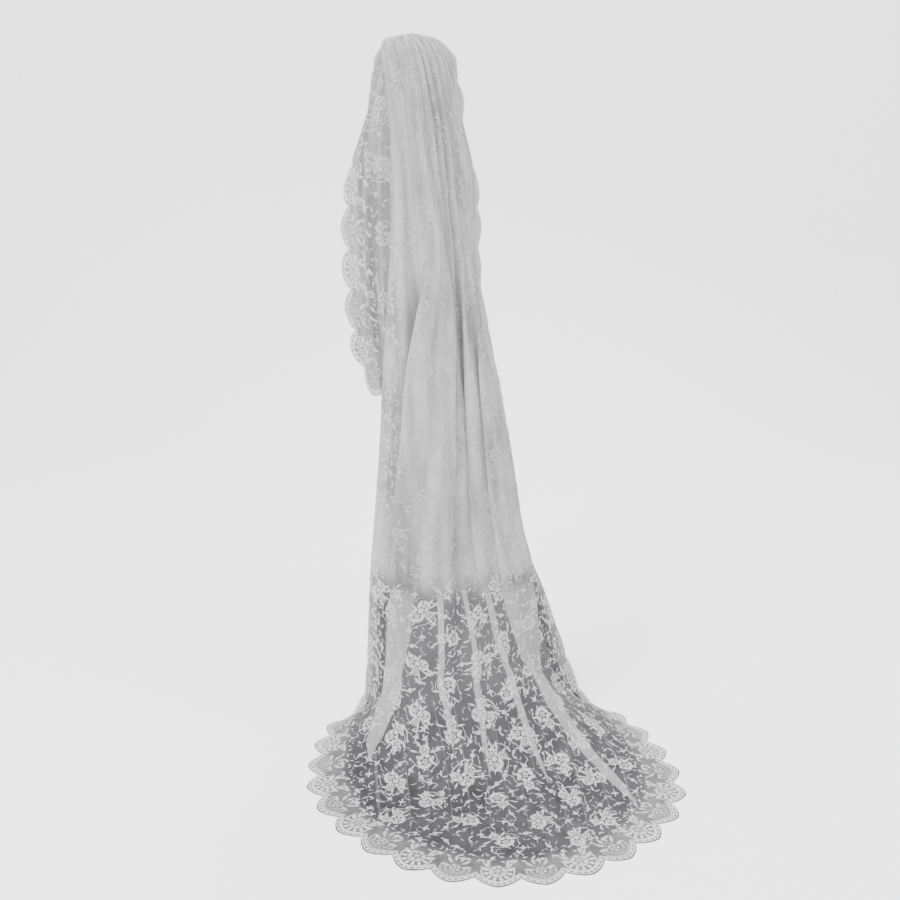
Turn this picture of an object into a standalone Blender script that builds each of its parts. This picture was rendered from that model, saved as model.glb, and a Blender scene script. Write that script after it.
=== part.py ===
"""Bridal veil of two net tiers with scalloped lace borders, worn at the back of the head.

The origin is the middle of the comb at the crown, +Z is up, the face looks along +Y and the train
runs out along -Y. The floor lies COMB_HEIGHT below the origin.

Each tier is one sheet of cloth. Its shape is a stack of slanting sections through three guide lines:
the left edge, the middle of the back and the right edge. A station is the drop below the comb plus the
run to the back, so that sections are bowed round the back where the cloth hangs and go straight across
where it lies on the floor. Long folds and gathers are added to those sections, and every piece of a
tier is read from the same surface, so that the pieces meet along their seams.
"""

from collections import namedtuple

import bmesh
import bpy
import numpy as np

# Driving sizes, in metres
COMB_HEIGHT = 1.700
WALL = 0.0012
SEAM_GAP = 0.0005
REST_GAP = 0.0003

BORDER_DEPTH = 0.090
BORDER_DEPTH_AT_COMB = 0.014
CORNER_TURN = 6

SCALLOP_PITCH = 0.100
SCALLOP_RISE = 0.017
SCALLOP_DIP = 0.014
SCALLOP_FIRST = 0.12
GAP_FROM_EDGE = 0.018
GAP_TO_EDGE = 0.031
GAP_START = 0.17
GAP_END = 0.31
SNAP = 0.005

RIBBON_WIDTH = 0.116
RIBBON_DEPTH = 0.0024
RIBBON_TOP = 0.0062
RIBBON_BOTTOM = -0.0135

COMB_WIDTH = 0.100
COMB_DEPTH = 0.0034
COMB_SPINE = 0.0090
TOOTH_COUNT = 14
TOOTH_LENGTH = 0.042
TOOTH_ROOT = 0.0016
TOOTH_TIP = 0.0007
TOOTH_LEAN = 0.35

# Sampling of the smooth surface that the pieces are read from
STATIONS = 421
ACROSS = 961
SECTION_STEPS = 241

# A section is a half ellipse where it hangs, and a bell, flat at its ends, at the comb and near the floor
CROWN_END = 0.10
CROWN_POWER = 2.2
BELL_START = 1.35
BELL_END = 2.05
BELL_POWER = 3.0

GuidePoint = namedtuple("GuidePoint", "x y height")
Fold = namedtuple("Fold", "place overlap level starts ends")
Ripple = namedtuple("Ripple", "station size")
Finish = namedtuple("Finish", "colour roughness metallic")
Tier = namedtuple(
    "Tier",
    "name left back right folds ripples ripple_count flare"
    " hem_start hem_end hem_power full_from rows panel_steps",
)

LONG_LEFT = (
    GuidePoint(-0.052, -0.0016, 1.700),
    GuidePoint(-0.060, -0.036, 1.694),
    GuidePoint(-0.058, -0.078, 1.655),
    GuidePoint(-0.046, -0.112, 1.575),
    GuidePoint(-0.034, -0.130, 1.460),
    GuidePoint(-0.034, -0.139, 1.310),
    GuidePoint(-0.048, -0.142, 1.094),
    GuidePoint(-0.062, -0.138, 0.919),
    GuidePoint(-0.073, -0.130, 0.744),
    GuidePoint(-0.087, -0.117, 0.590),
    GuidePoint(-0.103, -0.100, 0.402),
    GuidePoint(-0.119, -0.078, 0.191),
    GuidePoint(-0.130, -0.066, 0.075),
    GuidePoint(-0.156, -0.074, 0.008),
    GuidePoint(-0.200, -0.120, 0.000),
    GuidePoint(-0.225, -0.198, 0.000),
    GuidePoint(-0.234, -0.300, 0.000),
    GuidePoint(-0.230, -0.412, 0.000),
    GuidePoint(-0.212, -0.530, 0.000),
    GuidePoint(-0.190, -0.680, 0.000),
    GuidePoint(-0.170, -0.860, 0.000),
)

LONG_BACK = (
    GuidePoint(0.000, -0.0016, 1.700),
    GuidePoint(0.002, -0.034, 1.711),
    GuidePoint(0.008, -0.080, 1.692),
    GuidePoint(0.018, -0.114, 1.632),
    GuidePoint(0.027, -0.129, 1.550),
    GuidePoint(0.035, -0.139, 1.450),
    GuidePoint(0.045, -0.149, 1.300),
    GuidePoint(0.055, -0.159, 1.100),
    GuidePoint(0.065, -0.169, 0.900),
    GuidePoint(0.078, -0.182, 0.700),
    GuidePoint(0.092, -0.204, 0.500),
    GuidePoint(0.105, -0.242, 0.320),
    GuidePoint(0.118, -0.298, 0.180),
    GuidePoint(0.134, -0.378, 0.070),
    GuidePoint(0.150, -0.458, 0.012),
    GuidePoint(0.165, -0.530, 0.000),
    GuidePoint(0.185, -0.660, 0.000),
    GuidePoint(0.195, -0.820, 0.000),
    GuidePoint(0.200, -1.000, 0.000),
)

LONG_RIGHT = (
    GuidePoint(0.052, -0.0016, 1.700),
    GuidePoint(0.070, -0.022, 1.700),
    GuidePoint(0.092, -0.030, 1.679),
    GuidePoint(0.107, -0.021, 1.641),
    GuidePoint(0.121, -0.004, 1.585),
    GuidePoint(0.127, 0.004, 1.510),
    GuidePoint(0.143, 0.014, 1.445),
    GuidePoint(0.164, 0.020, 1.345),
    GuidePoint(0.170, 0.022, 1.143),
    GuidePoint(0.190, 0.018, 1.030),
    GuidePoint(0.213, 0.010, 0.896),
    GuidePoint(0.242, 0.000, 0.739),
    GuidePoint(0.264, -0.004, 0.612),
    GuidePoint(0.298, -0.008, 0.435),
    GuidePoint(0.341, -0.010, 0.330),
    GuidePoint(0.385, -0.012, 0.205),
    GuidePoint(0.426, -0.016, 0.090),
    GuidePoint(0.472, -0.022, 0.008),
    GuidePoint(0.530, -0.070, 0.000),
    GuidePoint(0.586, -0.168, 0.000),
    GuidePoint(0.620, -0.280, 0.000),
    GuidePoint(0.635, -0.395, 0.000),
    GuidePoint(0.632, -0.510, 0.000),
    GuidePoint(0.616, -0.650, 0.000),
    GuidePoint(0.592, -0.850, 0.000),
)

SHORT_LEFT = (
    GuidePoint(-0.050, -0.0010, 1.691),
    GuidePoint(-0.064, -0.013, 1.687),
    GuidePoint(-0.077, -0.016, 1.664),
    GuidePoint(-0.083, -0.014, 1.638),
    GuidePoint(-0.090, -0.012, 1.607),
    GuidePoint(-0.097, -0.014, 1.544),
    GuidePoint(-0.108, -0.016, 1.500),
    GuidePoint(-0.128, -0.018, 1.445),
    GuidePoint(-0.141, -0.020, 1.395),
    GuidePoint(-0.151, -0.022, 1.310),
    GuidePoint(-0.152, -0.022, 1.180),
    GuidePoint(-0.147, -0.020, 1.080),
    GuidePoint(-0.137, -0.018, 0.990),
    GuidePoint(-0.120, -0.018, 0.900),
    GuidePoint(-0.100, -0.018, 0.800),
    GuidePoint(-0.086, -0.018, 0.720),
)

SHORT_BACK = (
    GuidePoint(0.000, -0.0010, 1.691),
    GuidePoint(0.001, -0.034, 1.684),
    GuidePoint(0.002, -0.066, 1.660),
    GuidePoint(0.003, -0.086, 1.616),
    GuidePoint(0.004, -0.096, 1.550),
    GuidePoint(0.005, -0.102, 1.450),
    GuidePoint(0.006, -0.106, 1.300),
    GuidePoint(0.008, -0.108, 1.100),
    GuidePoint(0.010, -0.106, 0.900),
    GuidePoint(0.010, -0.104, 0.760),
)

SHORT_RIGHT = (
    GuidePoint(0.050, -0.0010, 1.691),
    GuidePoint(0.066, -0.013, 1.688),
    GuidePoint(0.082, -0.018, 1.664),
    GuidePoint(0.092, -0.012, 1.628),
    GuidePoint(0.100, -0.004, 1.580),
    GuidePoint(0.106, 0.002, 1.500),
    GuidePoint(0.116, 0.010, 1.440),
    GuidePoint(0.130, 0.012, 1.345),
    GuidePoint(0.135, 0.012, 1.143),
    GuidePoint(0.138, 0.010, 0.990),
    GuidePoint(0.134, 0.010, 0.900),
    GuidePoint(0.128, 0.010, 0.780),
    GuidePoint(0.124, 0.010, 0.690),
)

# place: where the fold lies, from -1 at the left edge to 1 at the right; overlap: cloth doubled back;
# level: how far the cloth stands out after the fold; starts and ends: stations between which it runs
LONG_FOLDS = (
    Fold(-0.430, 0.072, 0.036, 0.55, 1.96),
    Fold(-0.130, 0.026, 0.014, 0.40, 1.92),
    Fold(0.035, 0.020, 0.031, 0.40, 1.93),
    Fold(0.195, 0.024, 0.048, 0.45, 1.94),
    Fold(0.430, 0.074, 0.000, 0.65, 1.97),
)

SHORT_FOLDS = (
    Fold(-0.250, 0.010, 0.014, 0.30, 0.92),
    Fold(0.180, 0.010, 0.000, 0.30, 0.92),
)

# size: how far the soft gathers stand out at that station
LONG_RIPPLES = (
    Ripple(0.00, 0.0028),
    Ripple(0.06, 0.0050),
    Ripple(0.20, 0.0075),
    Ripple(0.45, 0.0085),
    Ripple(0.80, 0.0065),
    Ripple(1.20, 0.0045),
    Ripple(1.60, 0.0025),
    Ripple(1.85, 0.0000),
    Ripple(2.60, 0.0000),
)

SHORT_RIPPLES = (
    Ripple(0.00, 0.0024),
    Ripple(0.06, 0.0038),
    Ripple(0.30, 0.0060),
    Ripple(0.60, 0.0070),
    Ripple(1.00, 0.0075),
)

LONG_ROWS = (
    0.0, 0.018, 0.040, 0.068, 0.10, 0.14, 0.19, 0.27, 0.36, 0.45, 0.53, 0.59, 0.65, 0.71, 0.79, 0.89,
    1.00, 1.13, 1.26, 1.38, 1.47, 1.54, 1.61, 1.67, 1.72, 1.77, 1.82, 1.87, 1.93, 1.99, 2.05, 2.10,
)
SHORT_ROWS = (0.0, 0.018, 0.040, 0.065, 0.095, 0.14, 0.20, 0.27, 0.35, 0.44, 0.53, 0.62, 0.70)

LONG_TIER = Tier(
    name="long_tier",
    left=LONG_LEFT,
    back=LONG_BACK,
    right=LONG_RIGHT,
    folds=LONG_FOLDS,
    ripples=LONG_RIPPLES,
    ripple_count=9,
    flare=0.0,
    hem_start=2.10,
    hem_end=2.506,
    hem_power=2.0,
    full_from=1.35,
    rows=LONG_ROWS,
    panel_steps=3,
)
SHORT_TIER = Tier(
    name="short_tier",
    left=SHORT_LEFT,
    back=SHORT_BACK,
    right=SHORT_RIGHT,
    folds=SHORT_FOLDS,
    ripples=SHORT_RIPPLES,
    ripple_count=7,
    flare=0.30,
    hem_start=0.70,
    hem_end=0.946,
    hem_power=2.0,
    full_from=0.36,
    rows=SHORT_ROWS,
    panel_steps=6,
)
FOLD_STEPS = 3
FOLD_REACH = 0.60
FOLD_REACH_LEAST = 0.022
FOLD_LIFT = 1.5
FOLD_OPENING = 0.45
FOLD_CLOSING = 0.80
LEVEL_LAG = 0.10
SIDE_STEPS = 6
SIDE_EASE = 1.3
FLARE_DEPTH = 0.030
FLARE_START = 0.15
FLARE_FULL = 0.35

NET = Finish((0.78, 0.78, 0.76), 0.70, 0.0)
LACE = Finish((0.90, 0.90, 0.88), 0.75, 0.0)
RIBBON = Finish((0.86, 0.86, 0.84), 0.35, 0.0)
STEEL = Finish((0.75, 0.75, 0.76), 0.25, 1.0)


def ramp(t):
    """Smooth step from 0 at t = -1 to 1 at t = 1."""
    t = np.clip(t, -1.0, 1.0)
    return 0.5 + 0.75 * t - 0.25 * t**3


def guide_line(points):
    """A smooth curve through the points, with the station of each of its points."""
    given = np.array([(p.x, p.y, p.height - COMB_HEIGHT) for p in points])
    steps = 24
    ends = np.vstack([2 * given[0] - given[1], given, 2 * given[-1] - given[-2]])
    t = np.linspace(0.0, 1.0, steps, endpoint=False)[:, None]
    pieces = []
    for i in range(1, len(ends) - 2):
        before, start, stop, after = ends[i - 1], ends[i], ends[i + 1], ends[i + 2]
        pieces.append(
            0.5
            * (
                2 * start
                + (stop - before) * t
                + (2 * before - 5 * start + 4 * stop - after) * t**2
                + (3 * start - before - 3 * stop + after) * t**3
            )
        )
    curve = np.vstack(pieces + [given[-1:]])
    curve[:, 2] = np.maximum(curve[:, 2], WALL / 2 - COMB_HEIGHT)
    stations = -(curve - curve[0])[:, 1:].sum(axis=1)
    return stations, curve


def read_line(line, stations):
    """The points of a guide line at these stations."""
    known, curve = line
    return np.stack([np.interp(stations, known, curve[:, k]) for k in range(3)], axis=-1)


def cross_rows(rows, fraction):
    """Values of each row at that row's own fractions across, from 0 to 1."""
    count = rows.shape[1] - 1
    place = np.clip(fraction, 0.0, 1.0) * count
    low = np.minimum(place.astype(int), count - 1)
    part = (place - low)[..., None]
    index = np.arange(len(rows))[:, None]
    return rows[index, low] * (1 - part) + rows[index, low + 1] * part


class Cloth:
    """The mid surface of one tier, with its folds, read by place across (-1 to 1) and station along."""

    def __init__(self, tier):
        self.tier = tier
        lines = [guide_line(points) for points in (tier.left, tier.back, tier.right)]
        self.reach = min(line[0][-1] for line in lines)
        self.stations = np.linspace(0.0, self.reach, STATIONS)
        left, back, right = (read_line(line, self.stations) for line in lines)
        self.base = self.sections(left, back, right)
        self.arc = np.linalg.norm(np.diff(self.base, axis=1), axis=2).sum(axis=1)
        self.out = self.normals(self.base)
        self.plan_folds()
        u = np.broadcast_to(np.linspace(-1.0, 1.0, ACROSS), (STATIONS, ACROSS))
        self.surface = self.fold_cloth(u)
        self.surface[..., 2] = np.maximum(self.surface[..., 2], WALL / 2 - COMB_HEIGHT)
        self.normal = self.normals(self.surface)

    def sections(self, left, back, right):
        """Bows from left through back to right, with points evenly spaced along each."""
        angle = np.linspace(-np.pi / 2, np.pi / 2, SECTION_STEPS)[None, :, None]
        middle = (left + right)[:, None] / 2
        near_floor = (2 * self.stations - BELL_START - BELL_END) / (BELL_END - BELL_START)
        near_comb = 1 - 2 * self.stations / CROWN_END
        power = 1 + (BELL_POWER - 1) * ramp(near_floor) + (CROWN_POWER - 1) * ramp(near_comb)
        bow = np.clip(np.cos(angle), 0.0, 1.0) ** power[:, None, None]
        curve = middle + (right - left)[:, None] / 2 * np.sin(angle) + (back[:, None] - middle) * bow
        step = np.linalg.norm(np.diff(curve, axis=1), axis=2)
        length = np.concatenate([np.zeros((len(curve), 1)), np.cumsum(step, axis=1)], axis=1)
        length /= length[:, -1:]
        even = np.linspace(0.0, 1.0, ACROSS)
        rows = [[np.interp(even, length[i], curve[i, :, k]) for k in range(3)] for i in range(len(curve))]
        return np.transpose(np.array(rows), (0, 2, 1))

    def normals(self, surface):
        """Unit normals of a surface of points, away from the wearer and up from the floor."""
        across = np.gradient(surface, axis=1)
        along = np.gradient(surface, axis=0)
        normal = np.cross(along, across)
        return normal / np.maximum(np.linalg.norm(normal, axis=2, keepdims=True), 1e-12)

    def plan_folds(self):
        """For each station: the cloth's width, and each fold's overlap, level and place in the cloth."""
        s = self.stations
        folds = self.tier.folds
        opening = [ramp(2 * (s - f.starts) / FOLD_OPENING - 1) for f in folds]
        closing = [1 - ramp(2 * (s - f.ends + FOLD_CLOSING) / FOLD_CLOSING - 1) for f in folds]
        first = [min(a.starts, b.starts) - LEVEL_LAG for a, b in zip(folds, folds[1:] + folds[-1:])]
        last = [max(a.ends, b.ends) + LEVEL_LAG for a, b in zip(folds, folds[1:] + folds[-1:])]
        leading = [ramp(2 * (s - start) / FOLD_OPENING - 1) for start in first]
        lagging = [1 - ramp(2 * (s - end + FOLD_CLOSING) / FOLD_CLOSING - 1) for end in last]
        self.overlap = np.array([f.overlap * a * b for f, a, b in zip(folds, opening, closing)])
        self.level = np.array([f.level * a * b for f, a, b in zip(folds, leading, lagging)])
        self.width = self.arc + 2 * self.overlap.sum(axis=0)
        place = np.array([(f.place + 1) / 2 for f in folds])[:, None] * self.arc
        before = np.cumsum(self.overlap, axis=0) * 2 - self.overlap
        self.centre = place + before
        spaces = np.diff(np.vstack([np.zeros_like(s), self.centre, self.width]), axis=0)
        room = 0.38 * np.minimum(spaces[:-1], spaces[1:])
        self.fold_reach = np.minimum(np.maximum(FOLD_REACH * self.overlap, FOLD_REACH_LEAST), room)
        depth = np.interp(s, (0.0, self.tier.full_from), (BORDER_DEPTH_AT_COMB, BORDER_DEPTH))
        self.seam = 1 - 2 * depth / self.width

    def fold_cloth(self, u):
        """Points of the folded cloth at places u, one row for each station."""
        cloth = (u + 1) / 2 * self.width[:, None]
        along = cloth.copy()
        height = np.zeros_like(cloth)
        last = np.zeros_like(self.stations)
        for overlap, level, centre, reach in zip(self.overlap, self.level, self.centre, self.fold_reach):
            across = (cloth - centre[:, None]) / reach[:, None]
            along -= 2 * overlap[:, None] * ramp(across)
            height += (level - last)[:, None] * ramp(across / FOLD_LIFT)
            last = level
        height += self.ripple(u)
        fraction = along / self.arc[:, None]
        return cross_rows(self.base, fraction) + cross_rows(self.out, fraction) * height[..., None]

    def ripple(self, u):
        """Soft gathers between the side borders: squared sine waves of uneven width and size."""
        known = [r.station for r in self.tier.ripples]
        size = np.interp(self.stations, known, [r.size for r in self.tier.ripples])
        inside = u / self.seam[:, None]
        uneven = inside + 0.045 * np.sin(2.3 * np.pi * inside + 0.6) * (1 - inside**2)
        waves = np.sin(np.pi * self.tier.ripple_count * (uneven + 1) / 2) ** 2
        sizes = 0.75 + 0.25 * np.sin(5.1 * inside + 1.1)
        return np.where(np.abs(inside) < 1.0, waves * sizes * size[:, None], 0.0)

    def at(self, u, s):
        """Points and normals of the surface at places u and stations s."""
        row = np.clip(np.asarray(s) / self.reach, 0.0, 1.0) * (STATIONS - 1)
        column = np.clip((np.asarray(u) + 1) / 2, 0.0, 1.0) * (ACROSS - 1)
        i = np.minimum(row.astype(int), STATIONS - 2)
        j = np.minimum(column.astype(int), ACROSS - 2)
        a = (row - i)[..., None]
        b = (column - j)[..., None]
        found = []
        for grid in (self.surface, self.normal):
            low = grid[i, j] * (1 - b) + grid[i, j + 1] * b
            high = grid[i + 1, j] * (1 - b) + grid[i + 1, j + 1] * b
            found.append(low * (1 - a) + high * a)
        beyond = (np.abs(u) - 1).clip(0.0)[..., None] * self.value(self.width, s)[..., None] / 2
        points = found[0] + self.outward(u, s) * beyond
        normals = found[1] / np.maximum(np.linalg.norm(found[1], axis=-1, keepdims=True), 1e-9)
        return points, normals

    def outward(self, u, s):
        """The direction in which the cloth leaves its nearer side edge."""
        row = np.minimum((np.clip(s / self.reach, 0, 1) * (STATIONS - 1)).round().astype(int), STATIONS - 1)
        left = self.surface[row, 0] - self.surface[row, 8]
        right = self.surface[row, -1] - self.surface[row, -9]
        chosen = np.where((np.asarray(u) < 0)[..., None], left, right)
        return chosen / np.linalg.norm(chosen, axis=-1, keepdims=True)

    def value(self, values, s):
        """A value that is kept for each station, at stations s."""
        return np.interp(s, self.stations, values)

    def columns(self, s):
        """Places across at station s of the panel's mesh columns, closer together in the folds."""
        seam = self.value(self.seam, s)
        width = self.value(self.width, s)
        found = []
        last = -seam
        for centre, reach in zip(self.centre, self.fold_reach):
            middle = 2 * self.value(centre, s) / width - 1
            half = 1.2 * 2 * self.value(reach, s) / width
            found.append(last + (middle - half - last) * self.spread(not found, False))
            found.append(np.linspace(middle - half, middle + half, 2 * FOLD_STEPS, endpoint=False))
            last = middle + half
        found.append(last + (seam - last) * self.spread(False, True))
        return np.concatenate(found + [[seam]])

    def spread(self, at_left, at_right):
        """Shares from 0 to 1 of the columns in one space, closer together at the side of the cloth."""
        if not (at_left or at_right):
            return np.linspace(0.0, 1.0, self.tier.panel_steps, endpoint=False)
        shares = np.linspace(0.0, 1.0, SIDE_STEPS + 1)
        return shares[:-1] ** SIDE_EASE if at_left else 1 - shares[:0:-1] ** SIDE_EASE


def rim_curve(tier, tau):
    """How far the rounded hem has come at place tau across, from 0 at the sides to 1 in the middle."""
    return (1 - np.minimum(np.abs(tau), 1.0) ** tier.hem_power) ** (1 / tier.hem_power)


class Outline:
    """Lines across the border of one tier, from the seam to the edge, in order round the cloth."""

    def __init__(self, cloth):
        self.cloth = cloth
        tier = cloth.tier
        self.home = cloth.columns(tier.hem_start)
        seam = cloth.value(cloth.seam, tier.hem_start)
        across = self.home / seam
        tau = self.home * (1 + (1 / seam - 1) * np.abs(across) ** CORNER_TURN)
        drop = tier.hem_end - tier.hem_start
        self.hem_in = tier.hem_start + (drop - BORDER_DEPTH) * rim_curve(tier, across)
        self.hem_out = tier.hem_start + drop * rim_curve(tier, tau)
        rows = np.array(tier.rows)
        side_in = cloth.value(cloth.seam, rows)
        inner_u = np.concatenate([-side_in[:-1], self.home, side_in[-2::-1]])
        inner_s = np.concatenate([rows[:-1], self.hem_in, rows[-2::-1]])
        outer_u = np.concatenate([-np.ones(len(rows) - 1), tau, np.ones(len(rows) - 1)])
        outer_s = np.concatenate([rows[:-1], self.hem_out, rows[-2::-1]])
        self.inner = np.stack([inner_u, inner_s], axis=1)
        self.outer = np.stack([outer_u, outer_s], axis=1)
        edge = cloth.at(self.outer[:, 0], self.outer[:, 1])[0]
        self.depth = np.linalg.norm(edge - cloth.at(self.inner[:, 0], self.inner[:, 1])[0], axis=1)
        self.half_gap = (self.outer - self.inner) * (SEAM_GAP / 2 / self.depth)[:, None]
        self.length = np.concatenate([[0.0], np.cumsum(np.linalg.norm(np.diff(edge, axis=0), axis=1))])


def skin(points, normals, cells, name):
    """A closed wall of thickness WALL round a surface of points, where cells says which squares it has."""
    rows, columns = cells.shape
    index = np.arange(points.shape[0] * points.shape[1]).reshape(points.shape[:2])
    a, b, c, d = index[:-1, :-1], index[:-1, 1:], index[1:, 1:], index[1:, :-1]
    squares = np.stack([a, b, c, d], axis=-1)[cells]
    count = index.size
    flat_points = points.reshape(-1, 3)
    flat_normals = normals.reshape(-1, 3)
    verts = np.vstack([flat_points + flat_normals * WALL / 2, flat_points - flat_normals * WALL / 2])
    reach = np.linalg.norm(flat_points[squares[:, :2]] - flat_points[squares[:, 2:]], axis=2)
    direct = (reach[:, 0] <= reach[:, 1])[:, None]
    halves = [np.where(direct, squares[:, [0, 1, 2]], squares[:, [0, 1, 3]])]
    halves.append(np.where(direct, squares[:, [0, 2, 3]], squares[:, [1, 2, 3]]))
    triangles = np.vstack(halves)
    edges = np.concatenate([squares[:, [k, (k + 1) % 4]] for k in range(4)])
    keys = {tuple(edge) for edge in edges.tolist()}
    rims = [(p, q, q + count, p + count) for p, q in keys if (q, p) not in keys]
    faces = triangles[:, ::-1].tolist() + (triangles + count).tolist() + rims
    mesh = bpy.data.meshes.new(name)
    mesh.from_pydata(verts.tolist(), [], faces)
    work = bmesh.new()
    work.from_mesh(mesh)
    bmesh.ops.delete(work, geom=[v for v in work.verts if not v.link_faces], context="VERTS")
    bmesh.ops.triangulate(work, faces=work.faces)
    bmesh.ops.recalc_face_normals(work, faces=work.faces)
    work.to_mesh(mesh)
    work.free()
    return mesh


def material(name, finish):
    """A Principled material with one colour, roughness and metallic value."""
    made = bpy.data.materials.new(name)
    made.use_nodes = True
    shader = made.node_tree.nodes["Principled BSDF"]
    shader.inputs["Base Color"].default_value = (*finish.colour, 1.0)
    shader.inputs["Roughness"].default_value = finish.roughness
    shader.inputs["Metallic"].default_value = finish.metallic
    made.diffuse_color = (*finish.colour, 1.0)
    return made


def place(mesh, name, finish, home):
    """An object for the mesh, in the veil's collection, with its material."""
    mesh.name = name
    piece = bpy.data.objects.new(name, mesh)
    mesh.materials.clear()
    mesh.materials.append(material(name, finish))
    mesh.shade_smooth()
    mesh.set_sharp_from_angle(angle=np.radians(50))
    home.objects.link(piece)
    return piece


def panel(cloth, outline, home):
    """The net panel of a tier, inside the border's seam."""
    tier = cloth.tier
    ratio = outline.hem_in / tier.hem_start
    rows = np.array(tier.rows)
    s = rows[:, None] * ratio[None, :]
    u = np.array([[cloth.columns(min(v, tier.hem_start))[j] for j, v in enumerate(row)] for row in s])
    sides = len(rows) - 1
    for grid, shift in ((u, outline.half_gap[:, 0]), (s, outline.half_gap[:, 1])):
        grid[:-1, 0] -= shift[:sides]
        grid[-1] -= shift[sides:-sides]
        grid[:-1, -1] -= shift[:-sides - 1:-1]
    points, normals = cloth.at(u, s)
    cells = np.ones((len(rows) - 1, len(ratio) - 1), dtype=bool)
    return place(skin(points, normals, cells, tier.name), tier.name, NET, home)


def scallop(length):
    """How far the edge stands out of its line, in and out again for each scallop, at these lengths."""
    phase = (length / SCALLOP_PITCH) % 1.0
    arch = np.sin(np.pi * phase) ** 0.8
    return -SCALLOP_DIP + (SCALLOP_RISE + SCALLOP_DIP) * arch


def border_lines(outline):
    """Lengths round the edge at which the border's mesh has a line across it."""
    total = outline.length[-1]
    marks = np.array([0.0, GAP_START, GAP_END, 0.5, 1 - GAP_END, 1 - GAP_START])
    count = int(total / SCALLOP_PITCH)
    wanted = ((np.arange(count)[:, None] + marks) * SCALLOP_PITCH).ravel()
    wanted = wanted[(wanted > SCALLOP_FIRST) & (wanted < total - SCALLOP_FIRST)]
    kept = [w for w in wanted if np.abs(outline.length - w).min() > SNAP]
    return np.sort(np.concatenate([outline.length, kept]))


def flared(cloth, flat, points):
    """Points of the border, turned out to the sides near the edge where the tier hangs free."""
    past = (np.abs(flat[..., 0]) - 1) * cloth.value(cloth.width, flat[..., 1]) / 2
    below = ramp((2 * flat[..., 1] - FLARE_START - FLARE_FULL) / (FLARE_FULL - FLARE_START))
    near = np.clip(past + FLARE_DEPTH, 0.0, None) * ramp(2 * past / FLARE_DEPTH + 1)
    moved = points.copy()
    moved[..., 0] += np.sign(flat[..., 0]) * cloth.tier.flare * near * below
    return moved


def border(cloth, outline, home):
    """The scalloped lace border of a tier, with the largest gaps of its pattern cut through."""
    tier = cloth.tier
    lines = border_lines(outline)
    total = outline.length[-1]
    fade = ramp(np.minimum(lines, total - lines) / SCALLOP_FIRST * 2 - 1)
    rise = scallop(lines) * fade
    depth = np.interp(lines, outline.length, outline.depth)
    inner = outline.inner + outline.half_gap
    shares = np.stack(
        [
            np.zeros_like(lines),
            1 - GAP_TO_EDGE / np.maximum(depth, 0.05),
            1 - GAP_FROM_EDGE / np.maximum(depth, 0.05),
            1 + rise / np.maximum(depth, 0.05),
        ],
        axis=1,
    )
    coarse_shares = np.linspace(0.0, 1.2, 13)
    flat = inner[:, None] + (outline.outer - inner)[:, None] * coarse_shares[None, :, None]
    coarse_points, coarse_normals = cloth.at(flat[..., 0], flat[..., 1])
    coarse_points = flared(cloth, flat, coarse_points)
    points = ruled(outline.length, coarse_shares, coarse_points, lines, shares)
    points[..., 2] = np.maximum(points[..., 2], WALL / 2 - COMB_HEIGHT)
    normals = ruled(outline.length, coarse_shares, coarse_normals, lines, shares)
    normals /= np.linalg.norm(normals, axis=2, keepdims=True)
    cells = np.ones((len(lines) - 1, 3), dtype=bool)
    middle = (lines[:-1] + lines[1:]) / 2
    phase = (middle / SCALLOP_PITCH) % 1.0
    open_here = ((phase > GAP_START) & (phase < GAP_END)) | ((phase > 1 - GAP_END) & (phase < 1 - GAP_START))
    whole = (middle > SCALLOP_FIRST + SCALLOP_PITCH) & (middle < total - SCALLOP_FIRST - SCALLOP_PITCH)
    cells[open_here & whole, 1] = False
    name = tier.name + "_border"
    return place(skin(points, normals, cells, name), name, LACE, home)


def ruled(lengths, shares, grid, lines, wanted):
    """Values of a grid at each of the lines and its wanted shares, straight between the grid's own lines."""
    found = np.zeros((*wanted.shape, 3))
    for k in range(3):
        by_line = np.stack([np.interp(lines, lengths, grid[:, j, k]) for j in range(len(shares))], axis=1)
        found[..., k] = [np.interp(w, shares, row) for w, row in zip(wanted, by_line)]
    return found


def box(name, low, high):
    """A block between two corners."""
    low, high = np.array(low), np.array(high)
    work = bmesh.new()
    bmesh.ops.create_cube(work, size=1.0)
    bmesh.ops.scale(work, vec=high - low, verts=work.verts)
    bmesh.ops.translate(work, vec=(low + high) / 2, verts=work.verts)
    mesh = bpy.data.meshes.new(name)
    work.to_mesh(mesh)
    work.free()
    return mesh


def ribbon(home):
    """The ribbon that binds the gathered tops of both tiers, in front of them."""
    low = (-RIBBON_WIDTH / 2, 0.0, RIBBON_BOTTOM)
    high = (RIBBON_WIDTH / 2, RIBBON_DEPTH, RIBBON_TOP)
    mesh = box("binding_ribbon", low, high)
    piece = place(mesh, "binding_ribbon", RIBBON, home)
    bevel = piece.modifiers.new("soft edge", "BEVEL")
    bevel.width = RIBBON_DEPTH * 0.3
    bevel.segments = 2
    return piece


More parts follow.
